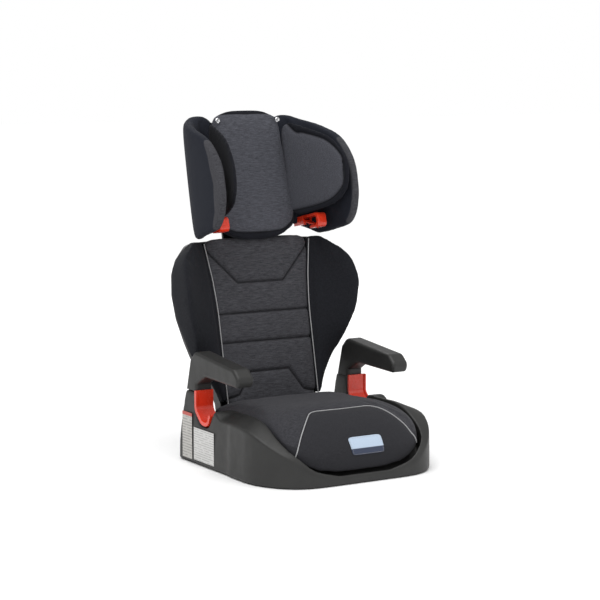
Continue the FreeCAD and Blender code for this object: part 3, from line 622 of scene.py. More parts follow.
@dataclass(frozen=True)
class Moulded(Finish):
    """Injection-moulded plastic. A spark-eroded grain scatters the light; handling leaves smooth patches."""
    colour: str = "#2b2a29"
    rough: float = 0.52
    grain: float = 1.1
    relief: float = 0.12
    gloss: float = 0.0

    def draw(self, material: bpy.types.Material, shader: bpy.types.Node) -> None:
        """Grain, slow tone change and patches of wear in the roughness."""
        tone = add(material, "TexNoise", {"Vector": self.place(material, (70.0, 70.0, 70.0))},
                   Scale=1.0, Detail=3.0)
        tint = ramp(material, tone, [(0.3, linear(shade(self.colour, 0.93))),
                                     (0.7, linear(shade(self.colour, 1.07)))])
        grains = add(material, "TexVoronoi", {"Vector": self.place(material, (self.grain,) * 3)}, Scale=1.0)
        wear = add(material, "TexNoise", {"Vector": self.place(material, (26.0, 26.0, 40.0))},
                   Scale=1.0, Detail=5.0, Roughness=0.7)
        polish = add(material, "MapRange", {"Value": wear}, From_Min=0.3, From_Max=0.7,
                     To_Min=self.rough - 0.06, To_Max=self.rough + 0.06)
        relief = add(material, "Bump", {"Height": grains}, Strength=self.relief, Distance=0.0004)
        links = material.node_tree.links
        links.new(tint.outputs[0], shader.inputs["Base Color"])
        links.new(polish.outputs[0], shader.inputs["Roughness"])
        links.new(relief.outputs[0], shader.inputs["Normal"])
        shader.inputs["IOR"].default_value = 1.49
        shader.inputs["Coat Weight"].default_value = self.gloss
        shader.inputs["Coat Roughness"].default_value = 0.08


@dataclass(frozen=True)
class Plated(Finish):
    """Plated metal. Fine turning marks stretch the highlights a little."""
    colour: str = "#b9babd"
    rough: float = 0.25
    marks: tuple[float, float, float] = (6.0, 0.4, 0.4)

    def draw(self, material: bpy.types.Material, shader: bpy.types.Node) -> None:
        """Turning marks in roughness and relief, and a slight change of tone."""
        marks = add(material, "TexNoise", {"Vector": self.place(material, self.marks)}, Scale=1.0, Detail=3.0)
        tint = ramp(material, marks, [(0.3, linear(shade(self.colour, 0.88))), (0.7, linear(self.colour))])
        polish = add(material, "MapRange", {"Value": marks}, From_Min=0.3, From_Max=0.7,
                     To_Min=self.rough * 0.8, To_Max=self.rough * 1.3)
        relief = add(material, "Bump", {"Height": marks}, Strength=0.08, Distance=0.0002)
        links = material.node_tree.links
        links.new(tint.outputs[0], shader.inputs["Base Color"])
        links.new(polish.outputs[0], shader.inputs["Roughness"])
        links.new(relief.outputs[0], shader.inputs["Normal"])
        shader.inputs["Metallic"].default_value = 1.0


@dataclass(frozen=True)
class Braid(Finish):
    """Piping: a cotton cord in a bias strip, with a fine diagonal rib."""
    colour: str = "#aeaeb0"

    def draw(self, material: bpy.types.Material, shader: bpy.types.Node) -> None:
        """Diagonal ribs, 1.4 mm apart, in the colour and the relief."""
        ribs = add(material, "TexWave", {"Vector": self.place(material, (1.4, 1.4, 1.4))}, Scale=ONE_BAND,
                   bands_direction="DIAGONAL", Distortion=0.4)
        tint = ramp(material, ribs, [(0.2, linear(shade(self.colour, 0.86))), (0.8, linear(self.colour))])
        relief = add(material, "Bump", {"Height": ribs}, Strength=0.4, Distance=0.0003)
        links = material.node_tree.links
        links.new(tint.outputs[0], shader.inputs["Base Color"])
        links.new(relief.outputs[0], shader.inputs["Normal"])
        shader.inputs["Roughness"].default_value = 0.7


@dataclass(frozen=True)
class Printed(Finish):
    """A printed plastic film: ruled lines of no meaning, and one tinted corner block."""
    ground: str = "#d9d7d2"
    ink: str = "#8f8d8a"
    block: str = "#b8463a"
    pitch: float = 4.5
    corner: tuple[float, float] = (0.15, 0.09)

    def draw(self, material: bpy.types.Material, shader: bpy.types.Node) -> None:
        """Ruled lines with ragged ends, then the block above and behind a corner, given in metres."""
        coords = add(material, "TexCoord")
        parts = add(material, "SeparateXYZ", {"Vector": coords.outputs["Object"]})
        lines = add(material, "TexWave", {"Vector": self.place(material, (self.pitch,) * 3)}, Scale=ONE_BAND,
                    bands_direction="Z")
        ruled = add(material, "Math", {0: lines.outputs["Fac"]}, operation="GREATER_THAN")
        ruled.inputs[1].default_value = 0.68
        ends = add(material, "TexNoise", {"Vector": self.place(material, (1.0, 9.0, self.pitch))}, Scale=1.0)
        kept = add(material, "Math", {0: ends}, operation="GREATER_THAN")
        kept.inputs[1].default_value = 0.42
        printed = add(material, "Math", {0: ruled, 1: kept}, operation="MULTIPLY")
        body = add(material, "Mix", {0: printed}, data_type="RGBA")
        body.inputs[6].default_value, body.inputs[7].default_value = linear(self.ground), linear(self.ink)
        behind = add(material, "Math", {0: parts.outputs["Y"]}, operation="GREATER_THAN")
        behind.inputs[1].default_value = self.corner[0]
        above = add(material, "Math", {0: parts.outputs["Z"]}, operation="GREATER_THAN")
        above.inputs[1].default_value = self.corner[1]
        blocked = add(material, "Math", {0: behind, 1: above}, operation="MULTIPLY")
        whole = add(material, "Mix", {0: blocked, 6: body.outputs[2]}, data_type="RGBA")
        whole.inputs[7].default_value = linear(self.block)
        material.node_tree.links.new(whole.outputs[2], shader.inputs["Base Color"])
        shader.inputs["Roughness"].default_value = 0.35


@dataclass(frozen=True)
class Badge(Finish):
    """A woven badge of two satin fields, pale above and navy below, with no lettering."""
    pale: str = "#c4d6ec"
    navy: str = "#1c2740"
    split: float = 0.0695

    def draw(self, material: bpy.types.Material, shader: bpy.types.Node) -> None:
        """Two fields split at a height in metres, with satin threads 0.8 mm apart."""
        coords = add(material, "TexCoord")
        parts = add(material, "SeparateXYZ", {"Vector": coords.outputs["Object"]})
        upper = add(material, "MapRange", {"Value": parts.outputs["Z"]}, From_Min=self.split - 0.0004,
                    From_Max=self.split + 0.0004)
        threads = add(material, "TexWave", {"Vector": self.place(material, (0.8, 0.8, 0.8))}, Scale=ONE_BAND,
                      bands_direction="X", Distortion=0.5)
        light = ramp(material, threads, [(0.2, linear(shade(self.pale, 0.9))), (0.8, linear(self.pale))])
        deep = ramp(material, threads, [(0.2, linear(self.navy)), (0.8, linear(shade(self.navy, 1.3)))])
        field_colour = add(material, "Mix", {0: upper, 6: deep, 7: light}, data_type="RGBA")
        relief = add(material, "Bump", {"Height": threads}, Strength=0.3, Distance=0.0003)
        links = material.node_tree.links
        links.new(field_colour.outputs[2], shader.inputs["Base Color"])
        links.new(relief.outputs[0], shader.inputs["Normal"])
        shader.inputs["Roughness"].default_value = 0.5
        shader.inputs["Sheen Weight"].default_value = 0.3


@dataclass(frozen=True)
class Studio(Finish):
    """A painted studio floor: matt, with a faint unevenness of tone."""
    colour: str = "#ffffff"

    def draw(self, material: bpy.types.Material, shader: bpy.types.Node) -> None:
        """Slow tone change."""
        tone = add(material, "TexNoise", {"Vector": self.place(material, (900.0, 900.0, 900.0))}, Scale=1.0)
        tint = ramp(material, tone, [(0.2, linear(shade(self.colour, 0.99))), (0.8, linear(self.colour))])
        material.node_tree.links.new(tint.outputs[0], shader.inputs["Base Color"])
        shader.inputs["Roughness"].default_value = 0.9
        shader.inputs["Specular IOR Level"].default_value = 0.0


MELANGE_LEANED = Woven("melange_polyester_leaned", "melange_fabric", leaned=True)
SEAT_CLOTH = Woven("melange_seat_cover", "melange_fabric", dark="#28282b", light="#47474c", border="#28282b")
HEAD_CLOTH = Woven("melange_head_cover", "melange_fabric", dark="#3a3b40", light="#61626a", nap=0.04,
                   leaned=True, border="#191a1f")
KNIT = Woven("bolster_knit", "bolster_fabric", dark="#1b1c20", light="#28292e", streak=(3.0, 3.0, 3.0),
             thread=1.3, relief=0.25, nap=0.04, leaned=True)
WING_CLOTH = Woven("bolster_wing_cover", "bolster_fabric", nap=0.03, leaned=True, border="#1f2128")
SHELL = Moulded("polypropylene_charcoal", "shell_plastic", colour="#252524")
BLACK = Moulded("polypropylene_black", "shell_plastic", colour="#121213", rough=0.45)
RED = Moulded("acetal_red", "guide_plastic", colour="#de3519", rough=0.28, relief=0.03, gloss=0.2)
RUBBER = Moulded("moulded_rubber", "grip_rubber", colour="#1a1a1a", rough=0.8, grain=0.8, relief=0.3)
NICKEL = Plated("nickel_plate", "stud_metal", colour="#d6d6d8", rough=0.18)
ZINC = Plated("zinc_plated_steel", "steel", colour="#a3a5a8", rough=0.34)
PIPING = Braid("piping_braid", "melange_fabric")
THREAD = Braid("sewing_thread_dark", "bolster_fabric", colour="#17171a")
FILM_SMALL = Printed("label_film_tall", "label_film", corner=(0.0, 0.1015), ground="#b9b7b2", pitch=6.0)
FILM_LARGE = Printed("label_film_wide", "label_film", corner=(0.5, 0.5), ground="#cfcfcd", ink="#aeadab",
                     pitch=5.0)
BADGE = Badge("badge_satin", "badge_woven")
FLOOR = Studio("studio_floor", "none")


# ---------------------------------------------------------------- sub-assemblies

def finish_pad(obj: bpy.types.Object, body: str, finish: Finish, fill: float, *nodes: str) -> None:
    finish.dress(obj)
    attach(obj, body)
    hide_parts(*nodes)
    LOG.info("%s rides on %s", obj.name, body)


def finish_trim(obj: bpy.types.Object, body: str, finish: Finish) -> None:
    """Dresses a small trim piece and puts it on its body."""
    finish.dress(obj)
    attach(obj, body)
    LOG.info("%s rides on %s", obj.name, body)


@dataclass
class Base:
    """The moulded tub with its seat pad, belt guides, armrests, labels and fasteners."""
    rear: float = 215.0
    front: float = -206.0
    foot: float = 1.2
    crowding: float = 1.15
    draft: float = 4.0
    wall_top: float = 158.0
    bulge: float = 2.6
    bulge_rear: float = -16.0
    bulge_front: float = -170.0
    lip_back: float = -185.0
    lip_rise: float = 3.0
    well_front: float = -199.0
    well_length: float = 440.0
    above: float = 220.0
    tub_cuts: int = 78
    tub_square: float = 40.0
    tub_voxel: float = 0.0032
    apron_start: float = 0.76
    apron_run: float = 0.24
    corner_lift: float = 36.0
    waist: float = 3.0
    badge_middle: Point2 = (13.5, 74.0)
    badge_half: Point2 = (39.5, 18.0)
    badge_slant: float = 3.5
    badge_flare: float = 0.5
    badge_thick: float = 1.3
    badge_ahead: float = -240.0
    badge_seam: Point2 = (0.95, 16.4)
    plan: Sequence[Point2] = ((-206, 98), (-204, 118), (-200, 136), (-193, 153), (-184, 167), (-172, 179),
                              (-158, 190), (-143, 199), (-125, 207), (-105, 213), (-80, 216), (190, 216),
                              (207, 214.5), (215, 210))
    top: Sequence[Point2] = ((-206, 22), (-202, 31), (-197, 44), (-189, 57), (-180, 68), (-168, 77),
                             (-150, 89), (-130, 101), (-110, 112), (-88, 121), (-62, 127), (-35, 129),
                             (48, 128), (56, 124), (63, 110), (69, 98), (77, 90.5), (88, 88.5), (102, 88.5),
                             (114, 93), (123, 101), (129, 111), (132.5, 122), (135, 157.5), (178, 157.5),
                             (180.5, 152), (196, 84), (215, 8))
    floor: Sequence[Point2] = ((-202, 8), (-188, 10), (-140, 46), (-118, 60), (141, 60), (145, 24), (198, 24),
                               (201, 40), (240, 40))
    well: Sequence[Point2] = ((-202, 92), (-197, 122), (-190, 140), (-182, 152), (-170, 161), (-155, 167),
                              (-135, 170.5), (-115, 171), (240, 171))
    lip: Sequence[Point2] = ((0, 20), (60, 20), (85, 25), (113, 32), (136, 43), (150, 54), (165, 70),
                             (180, 200))
    chamfer: Sequence[Point2] = ((-206, 2.5), (-190, 4), (-150, 5), (-112, 8), (-85, 12), (-55, 15),
                                 (20, 17), (50, 3), (215, 3))
    shoulder: Sequence[Point2] = ((-206, 3), (-185, 12), (-150, 18), (-110, 27), (-60, 36), (20, 36),
                                  (52, 3), (215, 3))
    seat_top: Sequence[Point2] = ((0, 116), (0.07, 126), (0.35, 131), (0.6, 137), (0.72, 141.5), (0.79, 140),
                                  (0.87, 124), (0.94, 100), (1, 76))
    seat_run: Sequence[Point2] = ((0, 150), (0.07, 148), (0.35, 60), (0.6, -30), (0.72, -90), (0.79, -121),
                                  (0.87, -154), (0.94, -177), (1, -189))
    seat_drop: Sequence[Point2] = ((0, 9), (0.35, 9), (0.6, 12), (0.72, 18), (0.82, 29), (0.92, 32), (1, 26))
    seat_low: Sequence[Point2] = ((0, 64), (0.76, 64), (0.9, 40), (1, 16))

    def outer(self, a: float, b: float, c: float) -> Vector:
        """A point of the tub's outside from a point of the unit cube."""
        y = self.front + (self.rear - self.front) * (0.5 + 0.5 * b) ** self.crowding
        across = abs(a) * curve_through(self.plan, y)
        front_lip = curve_through(self.lip, across) + self.lip_rise * max(0.0, y - self.lip_back)
        height = min(curve_through(self.top, y), front_lip)
        bevel, inward = curve_through(self.chamfer, y), curve_through(self.shoulder, y)
        z = self.foot + (height - self.foot) * (0.5 + 0.5 * c)
        over = max(0.0, (z - (height - bevel)) / bevel)
        draft = self.draft * (z / self.wall_top) ** 1.5
        fades_back = 1 / (1 + math.exp((y - self.bulge_rear) / 4))
        fades_ahead = 1 / (1 + math.exp((self.bulge_front - y) / 10))
        bulge = self.bulge * fades_back * fades_ahead
        inset = draft - bulge + inward * over ** 0.9
        half = curve_through(self.plan, y) - inset
        return Vector((a * half, y, z)) * MM

    def hollow(self, a: float, b: float, c: float) -> Vector:
        """A point of the well's cutter from a point of the unit cube."""
        y = self.well_front + self.well_length * (0.5 + 0.5 * b) ** self.crowding
        half = curve_through(self.well, y)
        low = curve_through(self.floor, y)
        return Vector((a * half, y, low + (self.above - low) * (0.5 + 0.5 * c))) * MM

    def tub(self) -> None:
        """The one-piece moulding: shoulders fall to the front lip, with dips where the lap belt passes."""
        tub = shaped_cube("base_tub", self.tub_cuts, self.outer, self.tub_square)
        cutter = shaped_cube("well_cutter", self.tub_cuts, self.hollow, self.tub_square)
        apply_modifier(tub, "BOOLEAN", object=cutter, operation="DIFFERENCE", solver="EXACT")
        bpy.data.objects.remove(cutter)
        choose(tub)
        tub.data.remesh_voxel_size = self.tub_voxel
        bpy.ops.object.voxel_remesh()
        apply_modifier(tub, "SMOOTH", factor=0.5, iterations=5)
        smooth_shade(tub, 60)
        SHELL.dress(tub)
        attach(tub, "base")
        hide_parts("base_shell")
        LOG.info("base_tub rides on base")

    def seat_point(self, a: float, b: float, c: float) -> Vector:
        """A point of the seat pad from a point of the unit cube; b runs from the rear to the front."""
        t = 0.5 + 0.5 * b
        y = curve_through(self.seat_run, t)
        high = curve_through(self.seat_top, t) - curve_through(self.seat_drop, t) * abs(a) ** 2.6
        ahead = max(0.0, (t - self.apron_start) / self.apron_run)
        low = curve_through(self.seat_low, t) + self.corner_lift * ahead * abs(a) ** 3.5
        half = curve_through(self.well, y + 4) - 1.5
        z = low + (high - low) * (0.5 + 0.5 * c)
        pulled = self.waist * (1 - c * c)
        back = 8.0 * abs(a) ** 5 * max(0.0, min(1.0, -(y + 60) / 120))
        return Vector((a * (half - pulled), y + back, z)) * MM

    def seat(self) -> None:
        """The seat pad: a crowned cover with a dark apron framed by piping."""
        pad = shaped_cube("seat_pad", 40, self.seat_point, 9)
        half = ((160, -190, 62), (148, -181, 76), (126, -158, 102), (98, -132, 127), (78, -115, 139),
                (62, -112, 143), (30, -117, 144))
        line = smooth_line([(-x, y, z) for x, y, z in half] + [(0, -119, 145)] + list(reversed(half)))
        sloped = [(p.x, 0.8 * p.y + 0.6 * p.z) for p in line]
        outline = [(-400.0, sloped[0][1] - 60)] + sloped + [(400.0, sloped[-1][1] - 60)]

        def projected(points: np.ndarray) -> np.ndarray:
            """Points in millimetres seen along the fall of the apron."""
            return np.stack([points[:, 0], 0.8 * points[:, 1] + 0.6 * points[:, 2]], axis=1)

        def held(points: np.ndarray) -> np.ndarray:
            """The underside and the seams stay where they are."""
            millimetres = points / MM
            near = distance_to_line(projected(millimetres), sloped)
            ahead = (millimetres[:, 2] > 74) & (millimetres[:, 1] < -60)
            seamed = np.where(ahead, 0.9 * falloff(near, 4), 0)
            return between(millimetres[:, 2], 78, 70) + seamed

        Cloth.inflate(pad, 6.0, lambda points: np.clip(held(points), 0, 1))
        points = coordinates(pad) / MM
        flat = projected(points)
        behind = flat[:, 1] - np.interp(flat[:, 0], [p[0] for p in outline], [p[1] for p in outline])
        near = distance_to_line(flat, outline)
        gusset = points[:, 2] - np.interp(points[:, 1], [-190, -150, -110, -60, 0, 160],
                                          [74, 88, 101, 112, 112, 104])
        note(pad, "panel", np.minimum(np.where(behind > 0, near, -near), gusset))
        upper = between(points[:, 2], 76, 84)
        sew(pad, flat, upper, [sloped], 1.6, 3.0)
        finish_pad(pad, "base", SEAT_CLOTH, 0.75, "seat_cushion", "seat_foam_core")
        tree = tree_of(pad)
        fall = Vector((0, 0.6, -0.8))
        starts = [Vector(p) * MM - fall * 0.08 for p in line[10:-10]]
        finish_trim(tube("seat_piping", laid_on(tree, starts, fall, 0.7), 1.3 * MM), "base", PIPING)
        seam = [laid_on(tree, [Vector(p) * MM - fall * 0.08 + Vector((0, offset, 0)) * MM
                               for p in line[20:-20]], fall, 0.15) for offset in (-5.0, 5.0)]
        finish_trim(stitches("seat_stitches", seam), "base", THREAD)
        self.badge(tree)

    def before_apron(self, a: float, c: float) -> Vector:
        """A point ahead of the apron, in metres, from a point of the badge's unit square."""
        (middle, height), (half, rise) = self.badge_middle, self.badge_half
        across = middle - self.badge_slant * c + a * (half + self.badge_flare * c)
        return Vector((across, self.badge_ahead, height + rise * c)) * MM

    def badge(self, tree: BVHTree) -> None:
        """The woven badge: a slanted patch with round corners, laid on the apron and sewn near its edge."""
        deselect()
        bpy.ops.mesh.primitive_grid_add(x_subdivisions=44, y_subdivisions=26, size=2)
        patch = bpy.context.object
        patch.name = "apron_badge"
        choose(patch)
        shape_all(bpy.ops.transform.rotate, value=math.pi / 2, orient_axis="X", center_override=(0, 0, 0))
        flat = coordinates(patch)
        across, rise = flat[:, 0], flat[:, 2]
        largest = np.maximum(np.abs(across), np.abs(rise))
        rounded = largest / np.maximum((np.abs(across) ** 9 + np.abs(rise) ** 9) ** (1 / 9), 1e-9)
        across, rise = across * rounded, rise * rounded
        starts = [self.before_apron(a, c) for a, c in zip(across, rise)]
        move_to(patch, np.array(laid_on(tree, starts, Vector((0, 1, 0)), 0.2)))
        if normals(patch)[:, 1].mean() > 0:
            patch.data.flip_normals()
        apply_modifier(patch, "SOLIDIFY", thickness=self.badge_thick * MM, offset=1.0)
        apply_modifier(patch, "BEVEL", width=0.4 * MM, segments=2, limit_method="ANGLE")
        smooth_shade(patch)
        BADGE.dress(patch)
        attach(patch, "base")
        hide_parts("front_badge")
        LOG.info("%s rides on base", patch.name)
        (middle, height), (share, rise) = self.badge_middle, self.badge_seam
        edge = [(middle - self.badge_slant * c + share * a * (self.badge_half[0] + self.badge_flare * c),
                 height + rise * c)
                for a, c in ((-0.97, -1), (0.97, -1), (1, 0), (0.97, 1), (-0.97, 1), (-1, 0), (-0.97, -1))]
        loop = [Vector((*p, 0)).lerp(Vector((*q, 0)), k / 20)
                for p, q in zip(edge[:-1], edge[1:]) for k in range(20)]
        ahead = [Vector((p.x, self.badge_ahead, p.y)) * MM for p in loop]
        seam = laid_on(tree_of(patch), ahead, Vector((0, 1, 0)), 0.05)
        finish_trim(stitches("badge_stitches", [seam], 2.6, 1.8, 0.3), "base", PIPING)

    def fittings(self) -> None:
        """Finishes for the parts that keep their CAD shape."""
        nodes = frame["nodes"]
        for name in ("armrest_left", "armrest_right"):
            SHELL.dress(nodes[name])
        for name in ("bottom_cover", "hinge_bracket_left", "hinge_bracket_right"):
            BLACK.dress(nodes[name])
        for name in ("lap_belt_guide_left", "lap_belt_guide_right"):
            RED.dress(nodes[name])
        for name in ("bottom_screws", "armrest_screws", "hinge_pin"):
            ZINC.dress(nodes[name])
        RUBBER.dress(nodes["anti_slip_pads"])
        FILM_SMALL.dress(nodes["side_label_small"])
        FILM_LARGE.dress(nodes["side_label_large"])
        for name in ("armrest_left", "armrest_right", "lap_belt_guide_left", "lap_belt_guide_right"):
            LOG.info("%s keeps its CAD shape", name)

    def build(self) -> None:
        """Makes and dresses the whole base."""
        self.tub()
        self.seat()
        self.fittings()


@dataclass
class Backrest:
    """The reclining back: a quilted centre panel between two side bolsters, on its moulded shell."""
    low: float = 26.0
    high: float = 399.0
    seam: Sequence[Point2] = ((24, 115.4), (222, 116), (300, 121), (350, 128), (400, 135.4))
    levels: Sequence[tuple[float, float, float]] = (
        (40, 0.0, 0.0), (80, 0.18, 0.0), (124, 0.47, 0.02), (144, 0.62, 0.15), (180, 0.77, 0.53),
        (232, 0.94, 0.86), (284, 1.0, 1.0), (330, 0.94, 0.86), (360, 0.78, 0.59), (392, 0.44, 0.22))
    face: float = -25.5
    rear: float = -6.0
    piping_depth: float = -28.4
    wing_foot: float = 42.0
    wing_height: float = 352.0
    wing_narrow: float = 126.0
    wing_spread: float = 94.0
    wing_depth: float = 71.0
    quilt: Sequence[Sequence[Point2]] = (
        ((-136, 378), (-127, 372), (-58, 299), (58, 299), (127, 372), (136, 378)),
        ((-130, 232), (130, 232)), ((-130, 168), (130, 168)),
        ((-130, 44), (-94, 50), (-82, 54), (-49, 102), (49, 102), (82, 54), (94, 50), (130, 44)))

    def centre_point(self, a: float, b: float, c: float) -> Vector:
        """A point of the centre panel: a across, b from the front to the rear, c upwards."""
        rise = self.low + (self.high - self.low) * (0.5 + 0.5 * c)
        half = curve_through(self.seam, rise) + 0.5
        front = self.face - 2.0 * (1 - a * a)
        return LEAN.out(a * half, front + (self.rear - front) * (0.5 + 0.5 * b), rise)

    def centre(self) -> None:
        """The quilted centre panel: it puffs up between its seams."""
        pad = shaped_cube("back_centre_panel", 44, self.centre_point, 12)

        def held(points: np.ndarray) -> np.ndarray:
            """The rear, the side seams and the quilting are held."""
            local = LEAN.back(points)
            near = np.full(len(local), FAR)
            for line in self.quilt:
                near = np.minimum(near, distance_to_line(local[:, [0, 2]], line))
            side = curve_array(self.seam, local[:, 2]) - np.abs(local[:, 0])
            firm = falloff(near, 4) + between(local[:, 1], -17, -13) + falloff(side, 5)
            return np.clip(firm, 0, 1)

        Cloth.inflate(pad, 5.0, held)
        local = LEAN.back(coordinates(pad))
        facing = between(local[:, 1], -16, -20)
        sew(pad, local[:, [0, 2]], facing, self.quilt, 4.4, 2.2)
        finish_pad(pad, "backrest", MELANGE_LEANED, 0.6, "back_center_pad")
        tree = tree_of(pad)
        rows = []
        for line in self.quilt:
            fine = [Vector((x, y, 0)) for x, y in line]
            along = [a.lerp(b, k / 24) for a, b in zip(fine[:-1], fine[1:]) for k in range(24)]
            inside = [p for p in along if abs(p.x) < curve_through(self.seam, p.y) - 4]
            rows.append(laid_on(tree, [LEAN.out(p.x, -80, p.y) for p in inside], LEAN.depth, 0.1))
        finish_trim(stitches("back_quilt_stitches", rows), "backrest", THREAD)
        for side in Side:
            points = [LEAN.out(side.value * curve_through(self.seam, rise), self.piping_depth, rise)
                      for rise in range(34, 389, 6)]
            finish_trim(tube(f"back_piping_{side.word}", points, 1.15 * MM), "backrest", PIPING)

    def wing_point(self, a: float, b: float, c: float) -> Vector:
        """A point of the left bolster: a from the seam outwards, b from the front to the rear, c upwards."""
        rise = self.wing_foot + self.wing_height * (0.5 + 0.5 * c)
        widening = curve_through([(r, w) for r, w, _ in self.levels], rise)
        depth = curve_through([(r, d) for r, _, d in self.levels], rise)
        outer, inner = self.wing_narrow + widening * self.wing_spread, curve_through(self.seam, rise) - 1.0
        share = 0.5 + 0.5 * a
        x = inner + (outer - inner) * share
        swell = 3.0 * math.sin(math.pi * min(1.0, share)) * (1 - depth)
        front = self.face - (depth * self.wing_depth) * share ** 1.4 - swell
        rear = self.rear - 2.0 * share
        return LEAN.out(x, front + (rear - front) * (0.5 + 0.5 * b), rise)

    def wings(self) -> None:
        """The side bolsters: they widen upwards and reach forwards round the child's shoulders."""
        pad = shaped_cube("back_bolster_left", 40, self.wing_point, 10)

        def held(points: np.ndarray) -> np.ndarray:
            """The rear and the seam beside the centre panel are held."""
            local = LEAN.back(points)
            side = local[:, 0] - curve_array(self.seam, local[:, 2])
            return np.clip(between(local[:, 1], -14, -10) + falloff(side, 6), 0, 1)

        Cloth.inflate(pad, 4.0, held)
        right = mirrored(pad, "back_bolster_right")
        finish_pad(pad, "backrest", KNIT, 0.7, "back_wing_pad_left")
        finish_pad(right, "backrest", KNIT, 0.7, "back_wing_pad_right")

    def build(self) -> None:
        """Makes and dresses the whole backrest."""
        self.centre()
        self.wings()
        for name in ("back_shell", "height_rack", "latch_bolt", "release_rod"):
            BLACK.dress(frame["nodes"][name])


@dataclass
class Headrest:
    """The sliding headrest: centre pad, two cheek pads and two deep wings on a moulded shell."""
    centre_half: Sequence[Point2] = ((391, 45), (402, 74), (425, 99), (451, 102), (556, 92.5), (640, 86),
                                     (664, 82), (681, 52))
    wing_path: Sequence[Point2] = ((66, -8), (96, -9.5), (124, -18), (148, -44), (160, -76), (164, -130),
                                   (162.5, -199))
    wing_top: Sequence[Point2] = ((-201, 502), (-196, 540), (-183, 566), (-146, 604), (-92, 634), (-34, 663),
                                  (-10, 677), (4, 680))
    wing_low: Sequence[Point2] = ((-201, 498), (-198, 462), (-191, 439), (-176, 415), (-150, 400),
                                  (-100, 396), (-48, 393), (-30, 405), (-16, 416), (-8, 424), (4, 426))
    wing_half_thick: float = 12.8
    cheek_top: Sequence[Point2] = ((-214, 517), (-211, 541), (-205, 556), (-162, 600), (-101, 630),
                                   (-49, 653), (-24, 660))
    cheek_low: Sequence[Point2] = ((-214, 513), (-211, 490), (-203, 470), (-165, 447), (-115, 439),
                                   (-49, 435), (-24, 435))
    cheek_path: Sequence[Point2] = ((-214, 139), (-205, 137), (-162, 126), (-101, 109), (-49, 95), (-24, 88))

    def centre_point(self, a: float, b: float, c: float) -> Vector:
        """A point of the centre pad: a across, b from the front to the rear, c upwards."""
        rise = 392 + 288 * (0.5 + 0.5 * c)
        half = curve_through(self.centre_half, rise) - 1.0
        front = -41.0 - 2.5 * (1 - a * a)
        return LEAN.out(a * half, front + (-20 - front) * (0.5 + 0.5 * b), rise)

    def centre(self) -> None:
        """The centre pad, with a dark binding at its top and a broader one round its lower tongue."""
        pad = shaped_cube("headrest_centre_panel", 34, self.centre_point, 9)
        Cloth.inflate(pad, 4.0, lambda points: between(LEAN.back(points)[:, 1], -31, -27))
        local = LEAN.back(coordinates(pad))
        top = 672 - local[:, 2]
        half = ((104, 462), (96, 440), (84, 424), (62, 411), (30, 407))
        line = smooth_pairs([(-x, rise) for x, rise in half] + [(0, 406)] + list(reversed(half)))
        above = local[:, 2] - np.interp(local[:, 0], [p[0] for p in line], [p[1] for p in line])
        near = distance_to_line(local[:, [0, 2]], line)
        low = np.where(local[:, 2] > 462, 99.0, np.where(above > 0, near, -near))
        front = -24 - local[:, 1]
        note(pad, "panel", np.minimum(np.minimum(top, low), front))
        facing = between(local[:, 1], -30, -34)
        sew(pad, local[:, [0, 2]], facing, [line, ((-90, 672), (90, 672))], 1.4, 2.2)
        finish_pad(pad, "headrest", HEAD_CLOTH, 0.6, "headrest_center_pad", "headrest_foam_core")

    def wing_point(self, a: float, b: float, c: float) -> Vector:
        """A point of the left wing: a from the back to the front rim, b through the thickness, c upwards."""
        line = self.wing_line
        at = min(int((0.5 + 0.5 * a) * (len(line) - 1)), len(line) - 2)
        rest = (0.5 + 0.5 * a) * (len(line) - 1) - at
        middle = line[at].lerp(line[at + 1], rest)
        run = (line[at + 1] - line[at]).normalized()
        outward = Vector((-run.y, run.x))
        spot = middle + outward * self.wing_half_thick * (b + 0.06 * (1 - c * c))
        top, low = curve_through(self.wing_top, middle.y), curve_through(self.wing_low, middle.y)
        return LEAN.out(spot.x, spot.y, (top + low) / 2 + c * ((top - low) / 2 - 1.5))

    def wings(self) -> None:
        """The deep side wings: they turn forwards from the back and end in a rounded rim."""
        raw = smooth_line([(u, v, 0) for u, v in self.wing_path], 30)
        lengths = np.concatenate([[0], np.cumsum([(q - p).length for p, q in zip(raw[:-1], raw[1:])])])
        even = np.linspace(0, lengths[-1], 90)
        self.wing_line = [Vector((float(np.interp(s, lengths, [p.x for p in raw])),
                                  float(np.interp(s, lengths, [p.y for p in raw])))) for s in even]
        pad = shaped_cube("headrest_wing_left", 44, self.wing_point, 6)

        def held(points: np.ndarray) -> np.ndarray:
            """The wing is held where it meets the back."""
            local = LEAN.back(points)
            return between(local[:, 0], 112, 100)

        Cloth.inflate(pad, 3.0, held)
        local = LEAN.back(coordinates(pad))
        facing_line = np.interp(local[:, 2], [394, 404, 440, 500, 560, 640, 665],
                                [-128, -150, -172, -179, -166, -128, -100])
        note(pad, "panel", np.minimum(facing_line - local[:, 1], local[:, 0] - 157))
        right = mirrored(pad, "headrest_wing_right")
        finish_pad(pad, "headrest", WING_CLOTH, 0.7, "headrest_wing_pad_left")
        finish_pad(right, "headrest", WING_CLOTH, 0.7, "headrest_wing_pad_right")

    def cheek_point(self, a: float, b: float, c: float) -> Vector:
        """A point of the left cheek pad: a from the front to the back, b inwards, c upwards."""
        depth = -212 + 186 * (0.5 + 0.5 * a)
        top, low = curve_through(self.cheek_top, depth), curve_through(self.cheek_low, depth)
        inner = curve_through(self.cheek_path, depth)
        thick = 9.0
        return LEAN.out(inner + thick * (0.5 - 0.5 * b) - 2, depth - 0.25 * thick * (0.5 - 0.5 * b),
                        (top + low) / 2 + c * ((top - low) / 2 - 2))

